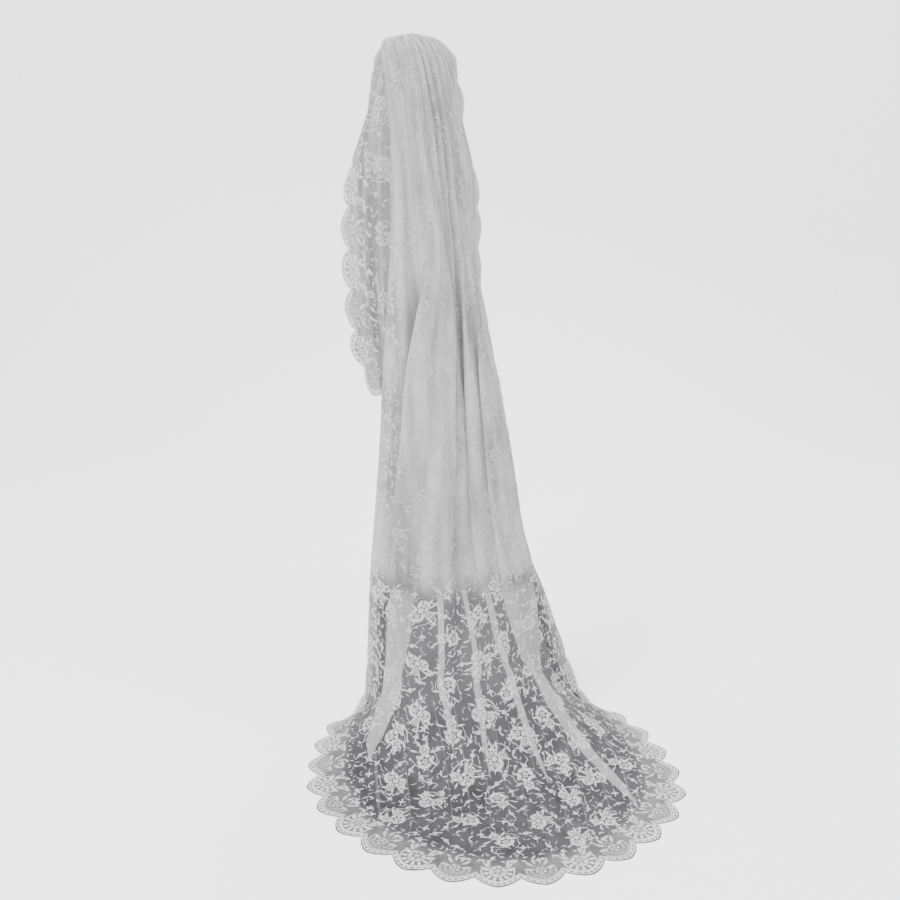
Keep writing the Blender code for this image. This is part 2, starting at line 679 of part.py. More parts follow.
def comb(home, cutters):
    """The plain comb: a spine against the ribbon and a row of teeth that lean into the hair."""
    front = RIBBON_DEPTH + REST_GAP
    top = RIBBON_TOP - 0.004
    low = (-COMB_WIDTH / 2, front, top - COMB_SPINE)
    high = (COMB_WIDTH / 2, front + COMB_DEPTH, top)
    spine = box("comb", low, high)
    piece = place(spine, "comb", STEEL, home)
    teeth = bmesh.new()
    spacing = (COMB_WIDTH - 4 * TOOTH_ROOT) / (TOOTH_COUNT - 1)
    for i in range(TOOTH_COUNT):
        made = bmesh.ops.create_cone(
            teeth, cap_ends=True, segments=6, radius1=TOOTH_TIP, radius2=TOOTH_ROOT, depth=TOOTH_LENGTH
        )
        bmesh.ops.translate(teeth, vec=(0, 0, -TOOTH_LENGTH / 2), verts=made["verts"])
        for v in made["verts"]:
            v.co.y -= v.co.z * TOOTH_LEAN
        x = -COMB_WIDTH / 2 + 2 * TOOTH_ROOT + i * spacing
        bmesh.ops.translate(
            teeth, vec=(x, front + COMB_DEPTH / 2, top - COMB_SPINE * 0.5), verts=made["verts"]
        )
    mesh = bpy.data.meshes.new("comb_teeth")
    teeth.to_mesh(mesh)
    teeth.free()
    row = bpy.data.objects.new("comb_teeth", mesh)
    row.hide_render = True
    row.display_type = "WIRE"
    cutters.objects.link(row)
    join = piece.modifiers.new("teeth", "BOOLEAN")
    join.operation = "UNION"
    join.object = row
    return piece


def main():
    """Builds every piece of the veil."""
    for old in list(bpy.data.objects):
        bpy.data.objects.remove(old)
    home = bpy.data.collections.new("bridal_veil")
    cutters = bpy.data.collections.new("joined_shapes")
    bpy.context.scene.collection.children.link(home)
    bpy.context.scene.collection.children.link(cutters)
    for tier in (LONG_TIER, SHORT_TIER):
        cloth = Cloth(tier)
        outline = Outline(cloth)
        panel(cloth, outline, home)
        border(cloth, outline, home)
    ribbon(home)
    comb(home, cutters)


main()
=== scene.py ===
"""The looks of a bridal veil of two net tiers with scalloped lace borders, in its worn form.

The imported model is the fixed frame. Each tier's net is a thin sheet on the same surface as its solid,
with finer gathers, soft drapes and creases. Lace is laid out flat, in metres of cloth, and carried onto
that surface: bouquets and sprigs on the net, and a border of roses, petals, eyelets and cords along the
edge. All sizes are in metres.
"""

from __future__ import annotations

import logging
from dataclasses import dataclass, field
from enum import Enum
from typing import ClassVar

import bpy
import numpy as np
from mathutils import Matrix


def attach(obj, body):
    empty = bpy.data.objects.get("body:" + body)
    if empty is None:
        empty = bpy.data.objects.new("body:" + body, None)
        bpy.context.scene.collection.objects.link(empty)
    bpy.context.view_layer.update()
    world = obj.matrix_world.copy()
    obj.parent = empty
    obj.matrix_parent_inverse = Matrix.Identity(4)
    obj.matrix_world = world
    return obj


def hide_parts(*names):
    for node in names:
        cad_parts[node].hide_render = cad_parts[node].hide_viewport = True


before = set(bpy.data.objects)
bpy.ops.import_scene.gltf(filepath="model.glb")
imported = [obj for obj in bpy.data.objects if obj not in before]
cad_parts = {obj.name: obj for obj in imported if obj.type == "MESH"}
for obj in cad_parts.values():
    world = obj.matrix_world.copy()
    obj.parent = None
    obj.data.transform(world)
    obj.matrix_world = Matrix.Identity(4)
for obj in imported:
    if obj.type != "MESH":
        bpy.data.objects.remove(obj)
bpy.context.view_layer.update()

log = logging.getLogger("veil")

COMB_HEIGHT = 1.700
FLOOR = -COMB_HEIGHT
CLOTH_LIFT = 0.0006
Array = np.ndarray
Rows = tuple[tuple[float, ...], ...]


def ramp(t: Array) -> Array:
    """Smooth step from 0 at t = -1 to 1 at t = 1.

    Args:
        t: Where to read the step.

    Returns:
        One half, plus three quarters of t, less a quarter of t cubed, with t held between -1 and 1.
    """
    t = np.clip(t, -1.0, 1.0)
    return 0.5 + 0.75 * t - 0.25 * t**3


def rise(value: Array, low: float, high: float) -> Array:
    """Smooth step from 0 where value is low to 1 where it is high.

    Args:
        value: What decides the step.
        low: The value at which it leaves 0.
        high: The value at which it reaches 1.

    Returns:
        The step's height for each value.
    """
    return ramp((2 * np.asarray(value) - low - high) / (high - low))


class Style(Enum):
    """Which of the border's two patterns a scallop carries."""

    ROSE = "rose"
    EYELETS = "eyelets"


# Cloth shapes


@dataclass(frozen=True)
class Fold:
    """A long fold: its place, the cloth doubled back, how far it stands out after that, and its stations."""

    place: float
    overlap: float
    level: float
    starts: float
    ends: float


@dataclass(frozen=True)
class Crease:
    """A fine ridge: its places across at its top and foot, its stations, its height and its half width."""

    top: float
    foot: float
    starts: float
    ends: float
    size: float
    width: float


@dataclass(frozen=True)
class Pleat:
    """A pressed pleat that shows as a pale band: its station, middle and half width across, row by row."""

    rows: tuple[tuple[float, float, float], ...]

    def share(self, places: Array, stations: Array) -> Array:
        """How far places lie from the pleat's middle, in half widths, and well over 1 past its ends."""
        table = np.array(self.rows)
        middle = np.interp(stations, table[:, 0], table[:, 1])
        half = np.interp(stations, table[:, 0], table[:, 2])
        share = np.abs(places - middle) / half
        past = np.maximum(table[0, 0] - stations, stations - table[-1, 0]) / 0.02
        return np.maximum(share, np.clip(past, 0.0, 3.0))


@dataclass(frozen=True)
class Waves:
    """Soft waves across the cloth: how many, where they start in their cycle, and their size by station."""

    count: float
    offset: float
    sizes: tuple[tuple[float, float], ...]

    def size(self, stations: Array) -> Array:
        """How far the waves stand out at each station."""
        table = np.array(self.sizes)
        return np.interp(stations, table[:, 0], table[:, 1])


@dataclass(frozen=True)
class Tier:
    """One tier of the veil: its guide lines as (x, y, height above the floor), and what lies on them."""

    name: str
    left: tuple[tuple[float, float, float], ...]
    back: tuple[tuple[float, float, float], ...]
    right: tuple[tuple[float, float, float], ...]
    folds: tuple[Fold, ...]
    ripples: Waves
    fine: tuple[Waves, ...]
    creases: tuple[Crease, ...]
    pleats: tuple[Pleat, ...]
    paleness: float
    lace_paleness: float
    hem_start: float
    hem_end: float
    full_from: float
    rows: int
    columns: int


LONG_TIER = Tier(
    name="long_tier",
    left=(
        (-0.052, -0.0016, 1.700),
        (-0.060, -0.036, 1.694),
        (-0.058, -0.078, 1.655),
        (-0.046, -0.112, 1.575),
        (-0.034, -0.130, 1.460),
        (-0.034, -0.139, 1.310),
        (-0.048, -0.142, 1.094),
        (-0.062, -0.138, 0.919),
        (-0.073, -0.130, 0.744),
        (-0.087, -0.117, 0.590),
        (-0.103, -0.100, 0.402),
        (-0.119, -0.078, 0.191),
        (-0.130, -0.066, 0.075),
        (-0.156, -0.074, 0.008),
        (-0.200, -0.120, 0.000),
        (-0.225, -0.198, 0.000),
        (-0.234, -0.300, 0.000),
        (-0.230, -0.412, 0.000),
        (-0.212, -0.530, 0.000),
        (-0.190, -0.680, 0.000),
        (-0.170, -0.860, 0.000),
    ),
    back=(
        (0.000, -0.0016, 1.700),
        (0.002, -0.034, 1.711),
        (0.008, -0.080, 1.692),
        (0.018, -0.114, 1.632),
        (0.027, -0.129, 1.550),
        (0.035, -0.139, 1.450),
        (0.045, -0.149, 1.300),
        (0.055, -0.159, 1.100),
        (0.065, -0.169, 0.900),
        (0.078, -0.182, 0.700),
        (0.092, -0.204, 0.500),
        (0.105, -0.242, 0.320),
        (0.118, -0.298, 0.180),
        (0.134, -0.378, 0.070),
        (0.150, -0.458, 0.012),
        (0.165, -0.530, 0.000),
        (0.185, -0.660, 0.000),
        (0.195, -0.820, 0.000),
        (0.200, -1.000, 0.000),
    ),
    right=(
        (0.052, -0.0016, 1.700),
        (0.070, -0.022, 1.700),
        (0.092, -0.030, 1.679),
        (0.107, -0.021, 1.641),
        (0.121, -0.004, 1.585),
        (0.127, 0.004, 1.510),
        (0.143, 0.014, 1.445),
        (0.164, 0.020, 1.345),
        (0.170, 0.022, 1.143),
        (0.190, 0.018, 1.030),
        (0.213, 0.010, 0.896),
        (0.242, 0.000, 0.739),
        (0.264, -0.004, 0.612),
        (0.298, -0.008, 0.435),
        (0.341, -0.010, 0.330),
        (0.385, -0.012, 0.205),
        (0.426, -0.016, 0.090),
        (0.472, -0.022, 0.008),
        (0.530, -0.070, 0.000),
        (0.586, -0.168, 0.000),
        (0.620, -0.280, 0.000),
        (0.635, -0.395, 0.000),
        (0.632, -0.510, 0.000),
        (0.616, -0.650, 0.000),
        (0.592, -0.850, 0.000),
    ),
    folds=(
        Fold(-0.430, 0.072, 0.036, 0.55, 1.96),
        Fold(-0.130, 0.026, 0.014, 0.40, 1.92),
        Fold(0.035, 0.020, 0.031, 0.40, 1.93),
        Fold(0.195, 0.024, 0.048, 0.45, 1.94),
        Fold(0.430, 0.074, 0.000, 0.65, 1.97),
    ),
    ripples=Waves(
        9,
        0.0,
        (
            (0.0, 0.0028),
            (0.06, 0.005),
            (0.2, 0.0075),
            (0.45, 0.0085),
            (0.8, 0.0065),
            (1.2, 0.0045),
            (1.6, 0.0025),
            (1.85, 0.0),
        ),
    ),
    fine=(
        Waves(
            31,
            0.4,
            ((0.0, 0.0012), (0.05, 0.0016), (0.25, 0.0012), (0.6, 0.0007), (1.1, 0.0005), (1.6, 0.0)),
        ),
        Waves(
            16,
            1.3,
            ((0.0, 0.0), (0.2, 0.0018), (0.7, 0.0026), (1.3, 0.0024), (1.7, 0.0014), (2.1, 0.0)),
        ),
    ),
    creases=(
        Crease(-0.60, -0.66, 1.62, 2.42, 0.0045, 0.010),
        Crease(-0.46, -0.50, 1.80, 2.50, 0.0050, 0.008),
        Crease(-0.33, -0.40, 1.90, 2.36, 0.0030, 0.006),
        Crease(-0.25, -0.27, 1.75, 2.48, 0.0040, 0.007),
        Crease(-0.15, -0.17, 1.85, 2.40, 0.0060, 0.009),
        Crease(-0.04, -0.07, 1.95, 2.46, 0.0030, 0.006),
        Crease(0.04, 0.05, 1.82, 2.44, 0.0055, 0.009),
        Crease(0.12, 0.15, 1.95, 2.34, 0.0030, 0.006),
        Crease(0.20, 0.24, 1.80, 2.48, 0.0055, 0.008),
        Crease(0.30, 0.37, 1.90, 2.42, 0.0035, 0.007),
        Crease(0.40, 0.47, 1.72, 2.46, 0.0060, 0.010),
        Crease(0.52, 0.60, 1.70, 2.38, 0.0050, 0.009),
        Crease(0.64, 0.71, 1.60, 2.20, 0.0040, 0.009),
    ),
    pleats=(
        Pleat(
            (
                (1.20, -0.49, 0.150),
                (1.49, -0.502, 0.160),
                (1.63, -0.517, 0.157),
                (1.73, -0.541, 0.130),
                (1.84, -0.549, 0.070),
                (1.95, -0.639, 0.051),
                (2.02, -0.674, 0.010),
            )
        ),
        Pleat(
            (
                (1.20, -0.25, 0.020),
                (1.50, -0.238, 0.014),
                (1.65, -0.211, 0.013),
                (1.87, -0.186, 0.017),
                (1.96, -0.203, 0.012),
                (2.01, -0.206, 0.003),
            )
        ),
        Pleat(
            (
                (1.20, -0.08, 0.020),
                (1.50, -0.069, 0.012),
                (1.65, -0.031, 0.013),
                (1.87, -0.011, 0.017),
                (1.98, -0.029, 0.014),
                (2.10, -0.030, 0.003),
            )
        ),
        Pleat(
            (
                (1.20, 0.07, 0.025),
                (1.48, 0.083, 0.016),
                (1.63, 0.117, 0.020),
                (1.86, 0.199, 0.020),
                (1.97, 0.226, 0.021),
                (2.11, 0.280, 0.005),
            )
        ),
        Pleat(
            (
                (1.20, 0.285, 0.125),
                (1.47, 0.300, 0.118),
                (1.61, 0.345, 0.102),
                (1.73, 0.410, 0.108),
                (1.84, 0.440, 0.077),
                (1.95, 0.503, 0.039),
                (2.08, 0.618, 0.042),
                (2.20, 0.735, 0.010),
            )
        ),
    ),
    paleness=0.80,
    lace_paleness=0.46,
    hem_start=2.10,
    hem_end=2.506,
    full_from=1.35,
    rows=300,
    columns=300,
)

SHORT_TIER = Tier(
    name="short_tier",
    left=(
        (-0.050, -0.0010, 1.691),
        (-0.064, -0.013, 1.687),
        (-0.077, -0.016, 1.664),
        (-0.083, -0.014, 1.638),
        (-0.090, -0.012, 1.607),
        (-0.097, -0.014, 1.544),
        (-0.108, -0.016, 1.500),
        (-0.128, -0.018, 1.445),
        (-0.141, -0.020, 1.395),
        (-0.151, -0.022, 1.310),
        (-0.152, -0.022, 1.180),
        (-0.147, -0.020, 1.080),
        (-0.137, -0.018, 0.990),
        (-0.120, -0.018, 0.900),
        (-0.100, -0.018, 0.800),
        (-0.086, -0.018, 0.720),
    ),
    back=(
        (0.000, -0.0010, 1.691),
        (0.001, -0.034, 1.684),
        (0.002, -0.066, 1.660),
        (0.003, -0.086, 1.616),
        (0.004, -0.096, 1.550),
        (0.005, -0.102, 1.450),
        (0.006, -0.106, 1.300),
        (0.008, -0.108, 1.100),
        (0.010, -0.106, 0.900),
        (0.010, -0.104, 0.760),
    ),
    right=(
        (0.050, -0.0010, 1.691),
        (0.066, -0.013, 1.688),
        (0.082, -0.018, 1.664),
        (0.092, -0.012, 1.628),
        (0.100, -0.004, 1.580),
        (0.106, 0.002, 1.500),
        (0.116, 0.010, 1.440),
        (0.130, 0.012, 1.345),
        (0.135, 0.012, 1.143),
        (0.138, 0.010, 0.990),
        (0.134, 0.010, 0.900),
        (0.128, 0.010, 0.780),
        (0.124, 0.010, 0.690),
    ),
    folds=(Fold(-0.250, 0.010, 0.014, 0.30, 0.92), Fold(0.180, 0.010, 0.000, 0.30, 0.92)),
    ripples=Waves(7, 0.0, ((0.0, 0.0024), (0.06, 0.0038), (0.3, 0.006), (0.6, 0.007), (1.0, 0.0075))),
    fine=(
        Waves(27, 0.9, ((0.0, 0.0010), (0.06, 0.0014), (0.3, 0.0009), (0.8, 0.0004))),
        Waves(13, 2.1, ((0.0, 0.0), (0.2, 0.0014), (0.5, 0.0018), (0.95, 0.0016))),
    ),
    creases=(),
    pleats=(),
    paleness=0.50,
    lace_paleness=0.62,
    hem_start=0.70,
    hem_end=0.946,
    full_from=0.36,
    rows=150,
    columns=150,
)


class VeilCloth:
    """The surface of one tier, read by place across (-1 to 1) and station along (drop plus run)."""

    stations_count: ClassVar[int] = 561
    across_count: ClassVar[int] = 1441
    section_steps: ClassVar[int] = 241
    guide_steps: ClassVar[int] = 24
    crown_end: ClassVar[float] = 0.10
    crown_power: ClassVar[float] = 2.2
    bell_start: ClassVar[float] = 1.35
    bell_end: ClassVar[float] = 2.05
    bell_power: ClassVar[float] = 3.0
    fold_reach_share: ClassVar[float] = 0.60
    fold_reach_least: ClassVar[float] = 0.022
    fold_room_share: ClassVar[float] = 0.38
    fold_lift: ClassVar[float] = 1.5
    fold_opening: ClassVar[float] = 0.45
    fold_closing: ClassVar[float] = 0.80
    level_lag: ClassVar[float] = 0.10
    border_depth: ClassVar[float] = 0.090
    border_depth_at_comb: ClassVar[float] = 0.014
    pleat_height: ClassVar[float] = 0.0045
    pleat_starts: ClassVar[float] = 1.55
    pleat_full: ClassVar[float] = 1.85
    edge_reach: ClassVar[int] = 12
    metric_reach: ClassVar[int] = 8

    def __init__(self, tier: Tier) -> None:
        """Works out the folded surface of the tier, its normals and its unfolded metric."""
        self.tier = tier
        lines = [self.guide(points) for points in (tier.left, tier.back, tier.right)]
        self.reach = min(known[-1] for known, _ in lines)
        self.stations = np.linspace(0.0, self.reach, self.stations_count)
        left, back, right = (
            np.stack([np.interp(self.stations, known, curve[:, k]) for k in range(3)], axis=-1)
            for known, curve in lines
        )
        self.base = self.sections(left, back, right)
        self.arc = np.linalg.norm(np.diff(self.base, axis=1), axis=2).sum(axis=1)
        self.out = self.normals_of(self.base)
        self.plan_folds()
        across = np.linspace(-1.0, 1.0, self.across_count)
        places = np.broadcast_to(across, (self.stations_count, self.across_count))
        self.surface = self.fold_cloth(places)
        self.surface[..., 2] = np.maximum(self.surface[..., 2], FLOOR + CLOTH_LIFT)
        self.normal = self.normals_of(self.surface)

    def guide(self, points: tuple[tuple[float, float, float], ...]) -> tuple[Array, Array]:
        """A smooth curve through the points: the cubic through each two that leans with their neighbours.

        Args:
            points: The guide's points, as (x, y, height).

        Returns:
            Each point's station, which is its drop plus its run to the back, and the points.
        """
        given = np.array(points) - (0.0, 0.0, COMB_HEIGHT)
        ends = np.vstack([2 * given[0] - given[1], given, 2 * given[-1] - given[-2]])
        before, start, stop, after = (ends[k : len(ends) - 3 + k, None] for k in range(4))
        t = np.linspace(0.0, 1.0, self.guide_steps, endpoint=False)[None, :, None]
        curve = 0.5 * (
            2 * start
            + (stop - before) * t
            + (2 * before - 5 * start + 4 * stop - after) * t**2
            + (3 * start - before - 3 * stop + after) * t**3
        )
        curve = np.vstack([curve.reshape(-1, 3), given[-1:]])
        curve[:, 2] = np.maximum(curve[:, 2], FLOOR + CLOTH_LIFT)
        return -(curve - curve[0])[:, 1:].sum(axis=1), curve

    def sections(self, left: Array, back: Array, right: Array) -> Array:
        """Bows from left through back to right: sine of an angle across, a power of its cosine outward.

        Args:
            left: The left edge's point at each station.
            back: The middle's point at each station.
            right: The right edge's point at each station.

        Returns:
            Points of each section, evenly spaced along it.
        """
        angle = np.linspace(-np.pi / 2, np.pi / 2, self.section_steps)[None, :, None]
        middle = (left + right)[:, None] / 2
        power = 1 + (self.bell_power - 1) * rise(self.stations, self.bell_start, self.bell_end)
        power += (self.crown_power - 1) * ramp(1 - 2 * self.stations / self.crown_end)
        bow = np.clip(np.cos(angle), 0.0, 1.0) ** power[:, None, None]
        curve = middle + (right - left)[:, None] / 2 * np.sin(angle) + (back[:, None] - middle) * bow
        steps = np.linalg.norm(np.diff(curve, axis=1), axis=2)
        length = np.concatenate([np.zeros((len(curve), 1)), np.cumsum(steps, axis=1)], axis=1)
        length /= length[:, -1:]
        even = np.linspace(0.0, 1.0, self.across_count)
        rows = [[np.interp(even, run, row[:, k]) for k in range(3)] for run, row in zip(length, curve)]
        return np.transpose(np.array(rows), (0, 2, 1))

    def normals_of(self, surface: Array) -> Array:
        """Unit normals of a grid of points, outward from the hollow and up from the floor."""
        normal = np.cross(np.gradient(surface, axis=0), np.gradient(surface, axis=1))
        return normal / np.maximum(np.linalg.norm(normal, axis=2, keepdims=True), 1e-12)

    def plan_folds(self) -> None:
        """For each station: the cloth's width, and each fold's overlap, level and place in the cloth."""
        s = self.stations
        folds = self.tier.folds
        after = folds[1:] + folds[-1:]
        opening = [ramp(2 * (s - f.starts) / self.fold_opening - 1) for f in folds]
        closing = [1 - ramp(2 * (s - f.ends + self.fold_closing) / self.fold_closing - 1) for f in folds]
        first = [min(a.starts, b.starts) - self.level_lag for a, b in zip(folds, after)]
        last = [max(a.ends, b.ends) + self.level_lag for a, b in zip(folds, after)]
        leading = [ramp(2 * (s - start) / self.fold_opening - 1) for start in first]
        lagging = [1 - ramp(2 * (s - end + self.fold_closing) / self.fold_closing - 1) for end in last]
        self.overlap = np.array([f.overlap * a * b for f, a, b in zip(folds, opening, closing)])
        self.level = np.array([f.level * a * b for f, a, b in zip(folds, leading, lagging)])
        self.width = self.arc + 2 * self.overlap.sum(axis=0)
        place = np.array([(f.place + 1) / 2 for f in folds])[:, None] * self.arc
        self.centre = place + np.cumsum(self.overlap, axis=0) * 2 - self.overlap
        spaces = np.diff(np.vstack([np.zeros_like(s), self.centre, self.width]), axis=0)
        room = self.fold_room_share * np.minimum(spaces[:-1], spaces[1:])
        reach = np.maximum(self.fold_reach_share * self.overlap, self.fold_reach_least)
        self.fold_reach = np.minimum(reach, room)
        self.seam = 1 - 2 * self.border(s) / self.width

    def fold_cloth(self, places: Array) -> Array:
        """The folded cloth: each fold turns it back by twice its overlap and lifts it to its level.

        Args:
            places: Places across, one row for each station.

        Returns:
            The points, on the sections moved out along their normals.
        """
        cloth = (places + 1) / 2 * self.width[:, None]
        along = cloth.copy()
        height = np.zeros_like(cloth)
        last = np.zeros_like(self.stations)
        for overlap, level, centre, reach in zip(self.overlap, self.level, self.centre, self.fold_reach):
            across = (cloth - centre[:, None]) / reach[:, None]
            along -= 2 * overlap[:, None] * ramp(across)
            height += (level - last)[:, None] * ramp(across / self.fold_lift)
            last = level
        height += self.soft_waves(places) + self.creased(places)
        fraction = np.clip(along / self.arc[:, None], 0.0, 1.0) * (self.across_count - 1)
        self.fraction = fraction
        low = np.minimum(fraction.astype(int), self.across_count - 2)
        part = (fraction - low)[..., None]
        row = np.arange(self.stations_count)[:, None]
        found = [grid[row, low] * (1 - part) + grid[row, low + 1] * part for grid in (self.base, self.out)]
        return found[0] + found[1] * height[..., None]

    def soft_waves(self, places: Array) -> Array:
        """Gathers between the side borders: squared sines, some of uneven width, faded towards the seams."""
        inside = places / self.seam[:, None]
        uneven = inside + 0.045 * np.sin(2.3 * np.pi * inside + 0.6) * (1 - inside**2)
        ripples = self.tier.ripples
        waves = np.sin(np.pi * ripples.count * (uneven + 1) / 2) ** 2
        height = waves * (0.75 + 0.25 * np.sin(5.1 * inside + 1.1)) * ripples.size(self.stations)[:, None]
        height = np.where(np.abs(inside) < 1.0, height, 0.0)
        near_edge = 1 - rise(np.abs(places), 0.86, 1.0)
        for fine in self.tier.fine:
            drift = 0.012 * np.sin(4.0 * self.stations + fine.offset)[:, None]
            bent = places + 0.05 * np.sin(3.7 * places + fine.offset) + drift
            wave = 0.5 + 0.5 * np.sin(np.pi * fine.count * bent + fine.offset)
            uneven_size = 0.6 + 0.4 * np.sin(fine.count * 0.37 * bent + 2 * fine.offset)
            height += wave * uneven_size * fine.size(self.stations)[:, None] * near_edge
        return height

    def creased(self, places: Array) -> Array:
        """Fine ridges: a bell curve across, faded in and out along, on a line from its top to its foot."""
        s = self.stations[:, None]
        height = np.zeros_like(places)
        half_width = self.width[:, None] / 2
        for crease in self.tier.creases:
            share = np.clip((s - crease.starts) / (crease.ends - crease.starts), 0.0, 1.0)
            wander = 0.006 * np.sin(9.0 * s + 30 * crease.top)
            centre = crease.top + (crease.foot - crease.top) * share + wander
            along = np.sin(np.pi * share) ** 0.7
            height += crease.size * along * np.exp(-(((places - centre) * half_width / crease.width) ** 2))
        for pleat in self.tier.pleats:
            share = pleat.share(places, np.broadcast_to(s, places.shape))
            stands = rise(s, self.pleat_starts, self.pleat_full) * (1 - rise(share, 0.75, 1.25))
            height += self.pleat_height * stands
        return height

    def at(self, places: Array, stations: Array) -> tuple[Array, Array]:
        """Points and unit normals of the surface, carried straight on past its side edges.

        Args:
            places: Places across.
            stations: Stations along, of the same shape.

        Returns:
            The points and the normals.
        """
        places = np.asarray(places, dtype=float)
        stations = np.asarray(stations, dtype=float)
        row = np.clip(stations / self.reach, 0.0, 1.0) * (self.stations_count - 1)
        column = np.clip((places + 1) / 2, 0.0, 1.0) * (self.across_count - 1)
        i = np.minimum(row.astype(int), self.stations_count - 2)
        j = np.minimum(column.astype(int), self.across_count - 2)
        a = (row - i)[..., None]
        b = (column - j)[..., None]
        found = []
        for grid in (self.surface, self.normal):
            low = grid[i, j] * (1 - b) + grid[i, j + 1] * b
            high = grid[i + 1, j] * (1 - b) + grid[i + 1, j + 1] * b
            found.append(low * (1 - a) + high * a)
        nearest = np.minimum(row.round().astype(int), self.stations_count - 1)
        left = (places < 0)[..., None]
        side = np.where(left, self.surface[nearest, 0], self.surface[nearest, -1])
        reach = self.edge_reach
        inner = np.where(left, self.surface[nearest, reach], self.surface[nearest, -1 - reach])
        away = (side - inner) / np.linalg.norm(side - inner, axis=-1, keepdims=True)
        past = (np.abs(places) - 1).clip(0.0) * self.value(self.width, stations) / 2
        normals = found[1] / np.maximum(np.linalg.norm(found[1], axis=-1, keepdims=True), 1e-9)
        points = found[0] + away * past[..., None]
        points[..., 2] = np.maximum(points[..., 2], FLOOR + CLOTH_LIFT)
        return points, normals

    def value(self, values: Array, stations: Array) -> Array:
        """A value that is kept for each station, at these stations."""
        return np.interp(stations, self.stations, values)

    def metric(self, places: Array, stations: Array) -> tuple[Array, Array, Array, Array]:
        """Directions of the unfolded cloth: across its section, and down a line of constant place.

        Args:
            places: Places across.
            stations: Stations along.

        Returns:
            The unit vectors across and down, and the metres for each unit of place and of station.
        """
        row = np.clip(stations / self.reach, 0.01, 0.99) * (self.stations_count - 1)
        i = np.clip(row.astype(int), 2, self.stations_count - 3)
        column = np.clip((places + 1) / 2, 0.0, 1.0) * (self.across_count - 1)
        reach = self.metric_reach
        j = self.fraction[i, column.astype(int)].astype(int)
        j = np.clip(j, reach, self.across_count - 1 - reach)
        across = self.base[i, j + reach] - self.base[i, j - reach]
        across /= np.linalg.norm(across, axis=-1, keepdims=True)
        down = (self.base[i + 2, j] - self.base[i - 2, j]) / (4 * self.stations[1])
        stretch = np.linalg.norm(down, axis=-1)
        return across, down / stretch[..., None], self.value(self.width, stations) / 2, stretch

    def border(self, stations: Array) -> Array:
        """How deep the border is at these stations of the side edges."""
        ends = (self.border_depth_at_comb, self.border_depth)
        return np.interp(stations, (0.0, self.tier.full_from), ends)

    def crease_index(self, places: Array, stations: Array) -> Array:
        """A count that rises across and is whole on each crease line, to draw fine lines along them."""
        index = np.zeros_like(places)
        creases = self.tier.creases
        if not creases:
            return index + 0.5
        count = np.arange(len(creases) + 2, dtype=float)
        count[0] = -0.5
        for row in range(len(places)):
            s = stations[row, stations.shape[1] // 2]
            shares = [float(np.clip((s - c.starts) / (c.ends - c.starts), 0.0, 1.0)) for c in creases]
            centres = [c.top + (c.foot - c.top) * share for c, share in zip(creases, shares)]
            index[row] = np.interp(places[row], [-1.2, *centres, 1.2], count)
        return index

    def step(self, places: Array, stations: Array, across: Array, down: Array) -> tuple[Array, Array]:
        """The change of place and station for a step in metres, square to the line down and along it."""
        row, column, wide, tall = self.metric(places, stations)
        lean = (row * column).sum(axis=-1)
        square = np.sqrt(np.maximum(1 - lean**2, 0.2))
        change = across / (wide * square)
        return change, (down - change * wide * lean) / tall

    def hem(self, places: Array) -> Array:
        """The station of the hem at these places: a half ellipse below where the straight sides end."""
        tier = self.tier
        bow = np.sqrt(1 - np.minimum(np.abs(places), 1.0) ** 2)
        return tier.hem_start + (tier.hem_end - tier.hem_start) * bow


class Edge:
    """The cloth's edge from the comb down the left side, round the hem and up the right, by its length."""

    side_steps: ClassVar[int] = 900
    hem_steps: ClassVar[int] = 1400
    mark_count: ClassVar[int] = 2401
    smoothing: ClassVar[int] = 20

    def __init__(self, cloth: VeilCloth) -> None:
        """Traces the edge and the direction into the cloth, square to it, at each of its points."""
        self.cloth = cloth
        side = np.linspace(0.0, cloth.tier.hem_start, self.side_steps, endpoint=False)
        round_hem = -np.cos(np.linspace(0.0, np.pi, self.hem_steps))
        places = np.concatenate([-np.ones(self.side_steps), round_hem, np.ones(self.side_steps)])
        stations = np.concatenate([side, cloth.hem(round_hem), side[::-1]])
        points = cloth.at(places, stations)[0]
        length = np.concatenate([[0.0], np.cumsum(np.linalg.norm(np.diff(points, axis=0), axis=1))])
        self.total = float(length[-1])
        self.marks = np.linspace(0.0, self.total, self.mark_count)
        self.places = np.interp(self.marks, length, places)
        self.stations = np.interp(self.marks, length, stations)
        traced = np.stack([np.interp(self.marks, length, points[:, k]) for k in range(3)], axis=-1)
        ahead = np.gradient(traced, axis=0)
        ahead /= np.linalg.norm(ahead, axis=1, keepdims=True)
        row, column, _, _ = cloth.metric(self.places * 0.995, self.stations)
        out = np.cross(column, row)
        inward = np.cross(out / np.linalg.norm(out, axis=1, keepdims=True), ahead)
        square = row - column * (row * column).sum(axis=1, keepdims=True)
        square /= np.linalg.norm(square, axis=1, keepdims=True)
        aside = (inward * square).sum(axis=1)
        along = (inward * column).sum(axis=1)
        change, fall = cloth.step(self.places, self.stations, aside, along)
        self.change = self.smoothed(change)
        self.fall = self.smoothed(fall)
        self.depth = cloth.border(self.stations)

    def smoothed(self, values: Array) -> Array:
        """Values averaged with their neighbours, weighted by a squared half sine."""
        window = np.hanning(2 * self.smoothing + 1)
        return np.convolve(np.pad(values, self.smoothing, mode="edge"), window / window.sum(), mode="valid")

    def strip(self, lengths: Array, depths: Array) -> tuple[Array, Array]:
        """Places and stations of points that lie this far along the edge and this deep inside it."""
        places, stations = (
            np.interp(lengths, self.marks, start) + depths * np.interp(lengths, self.marks, step)
            for start, step in ((self.places, self.change), (self.stations, self.fall))
        )
        return places, stations

    def border_depth(self, lengths: Array) -> Array:
        """How deep the border is at these lengths."""
        return np.interp(lengths, self.marks, self.depth)


# Meshes


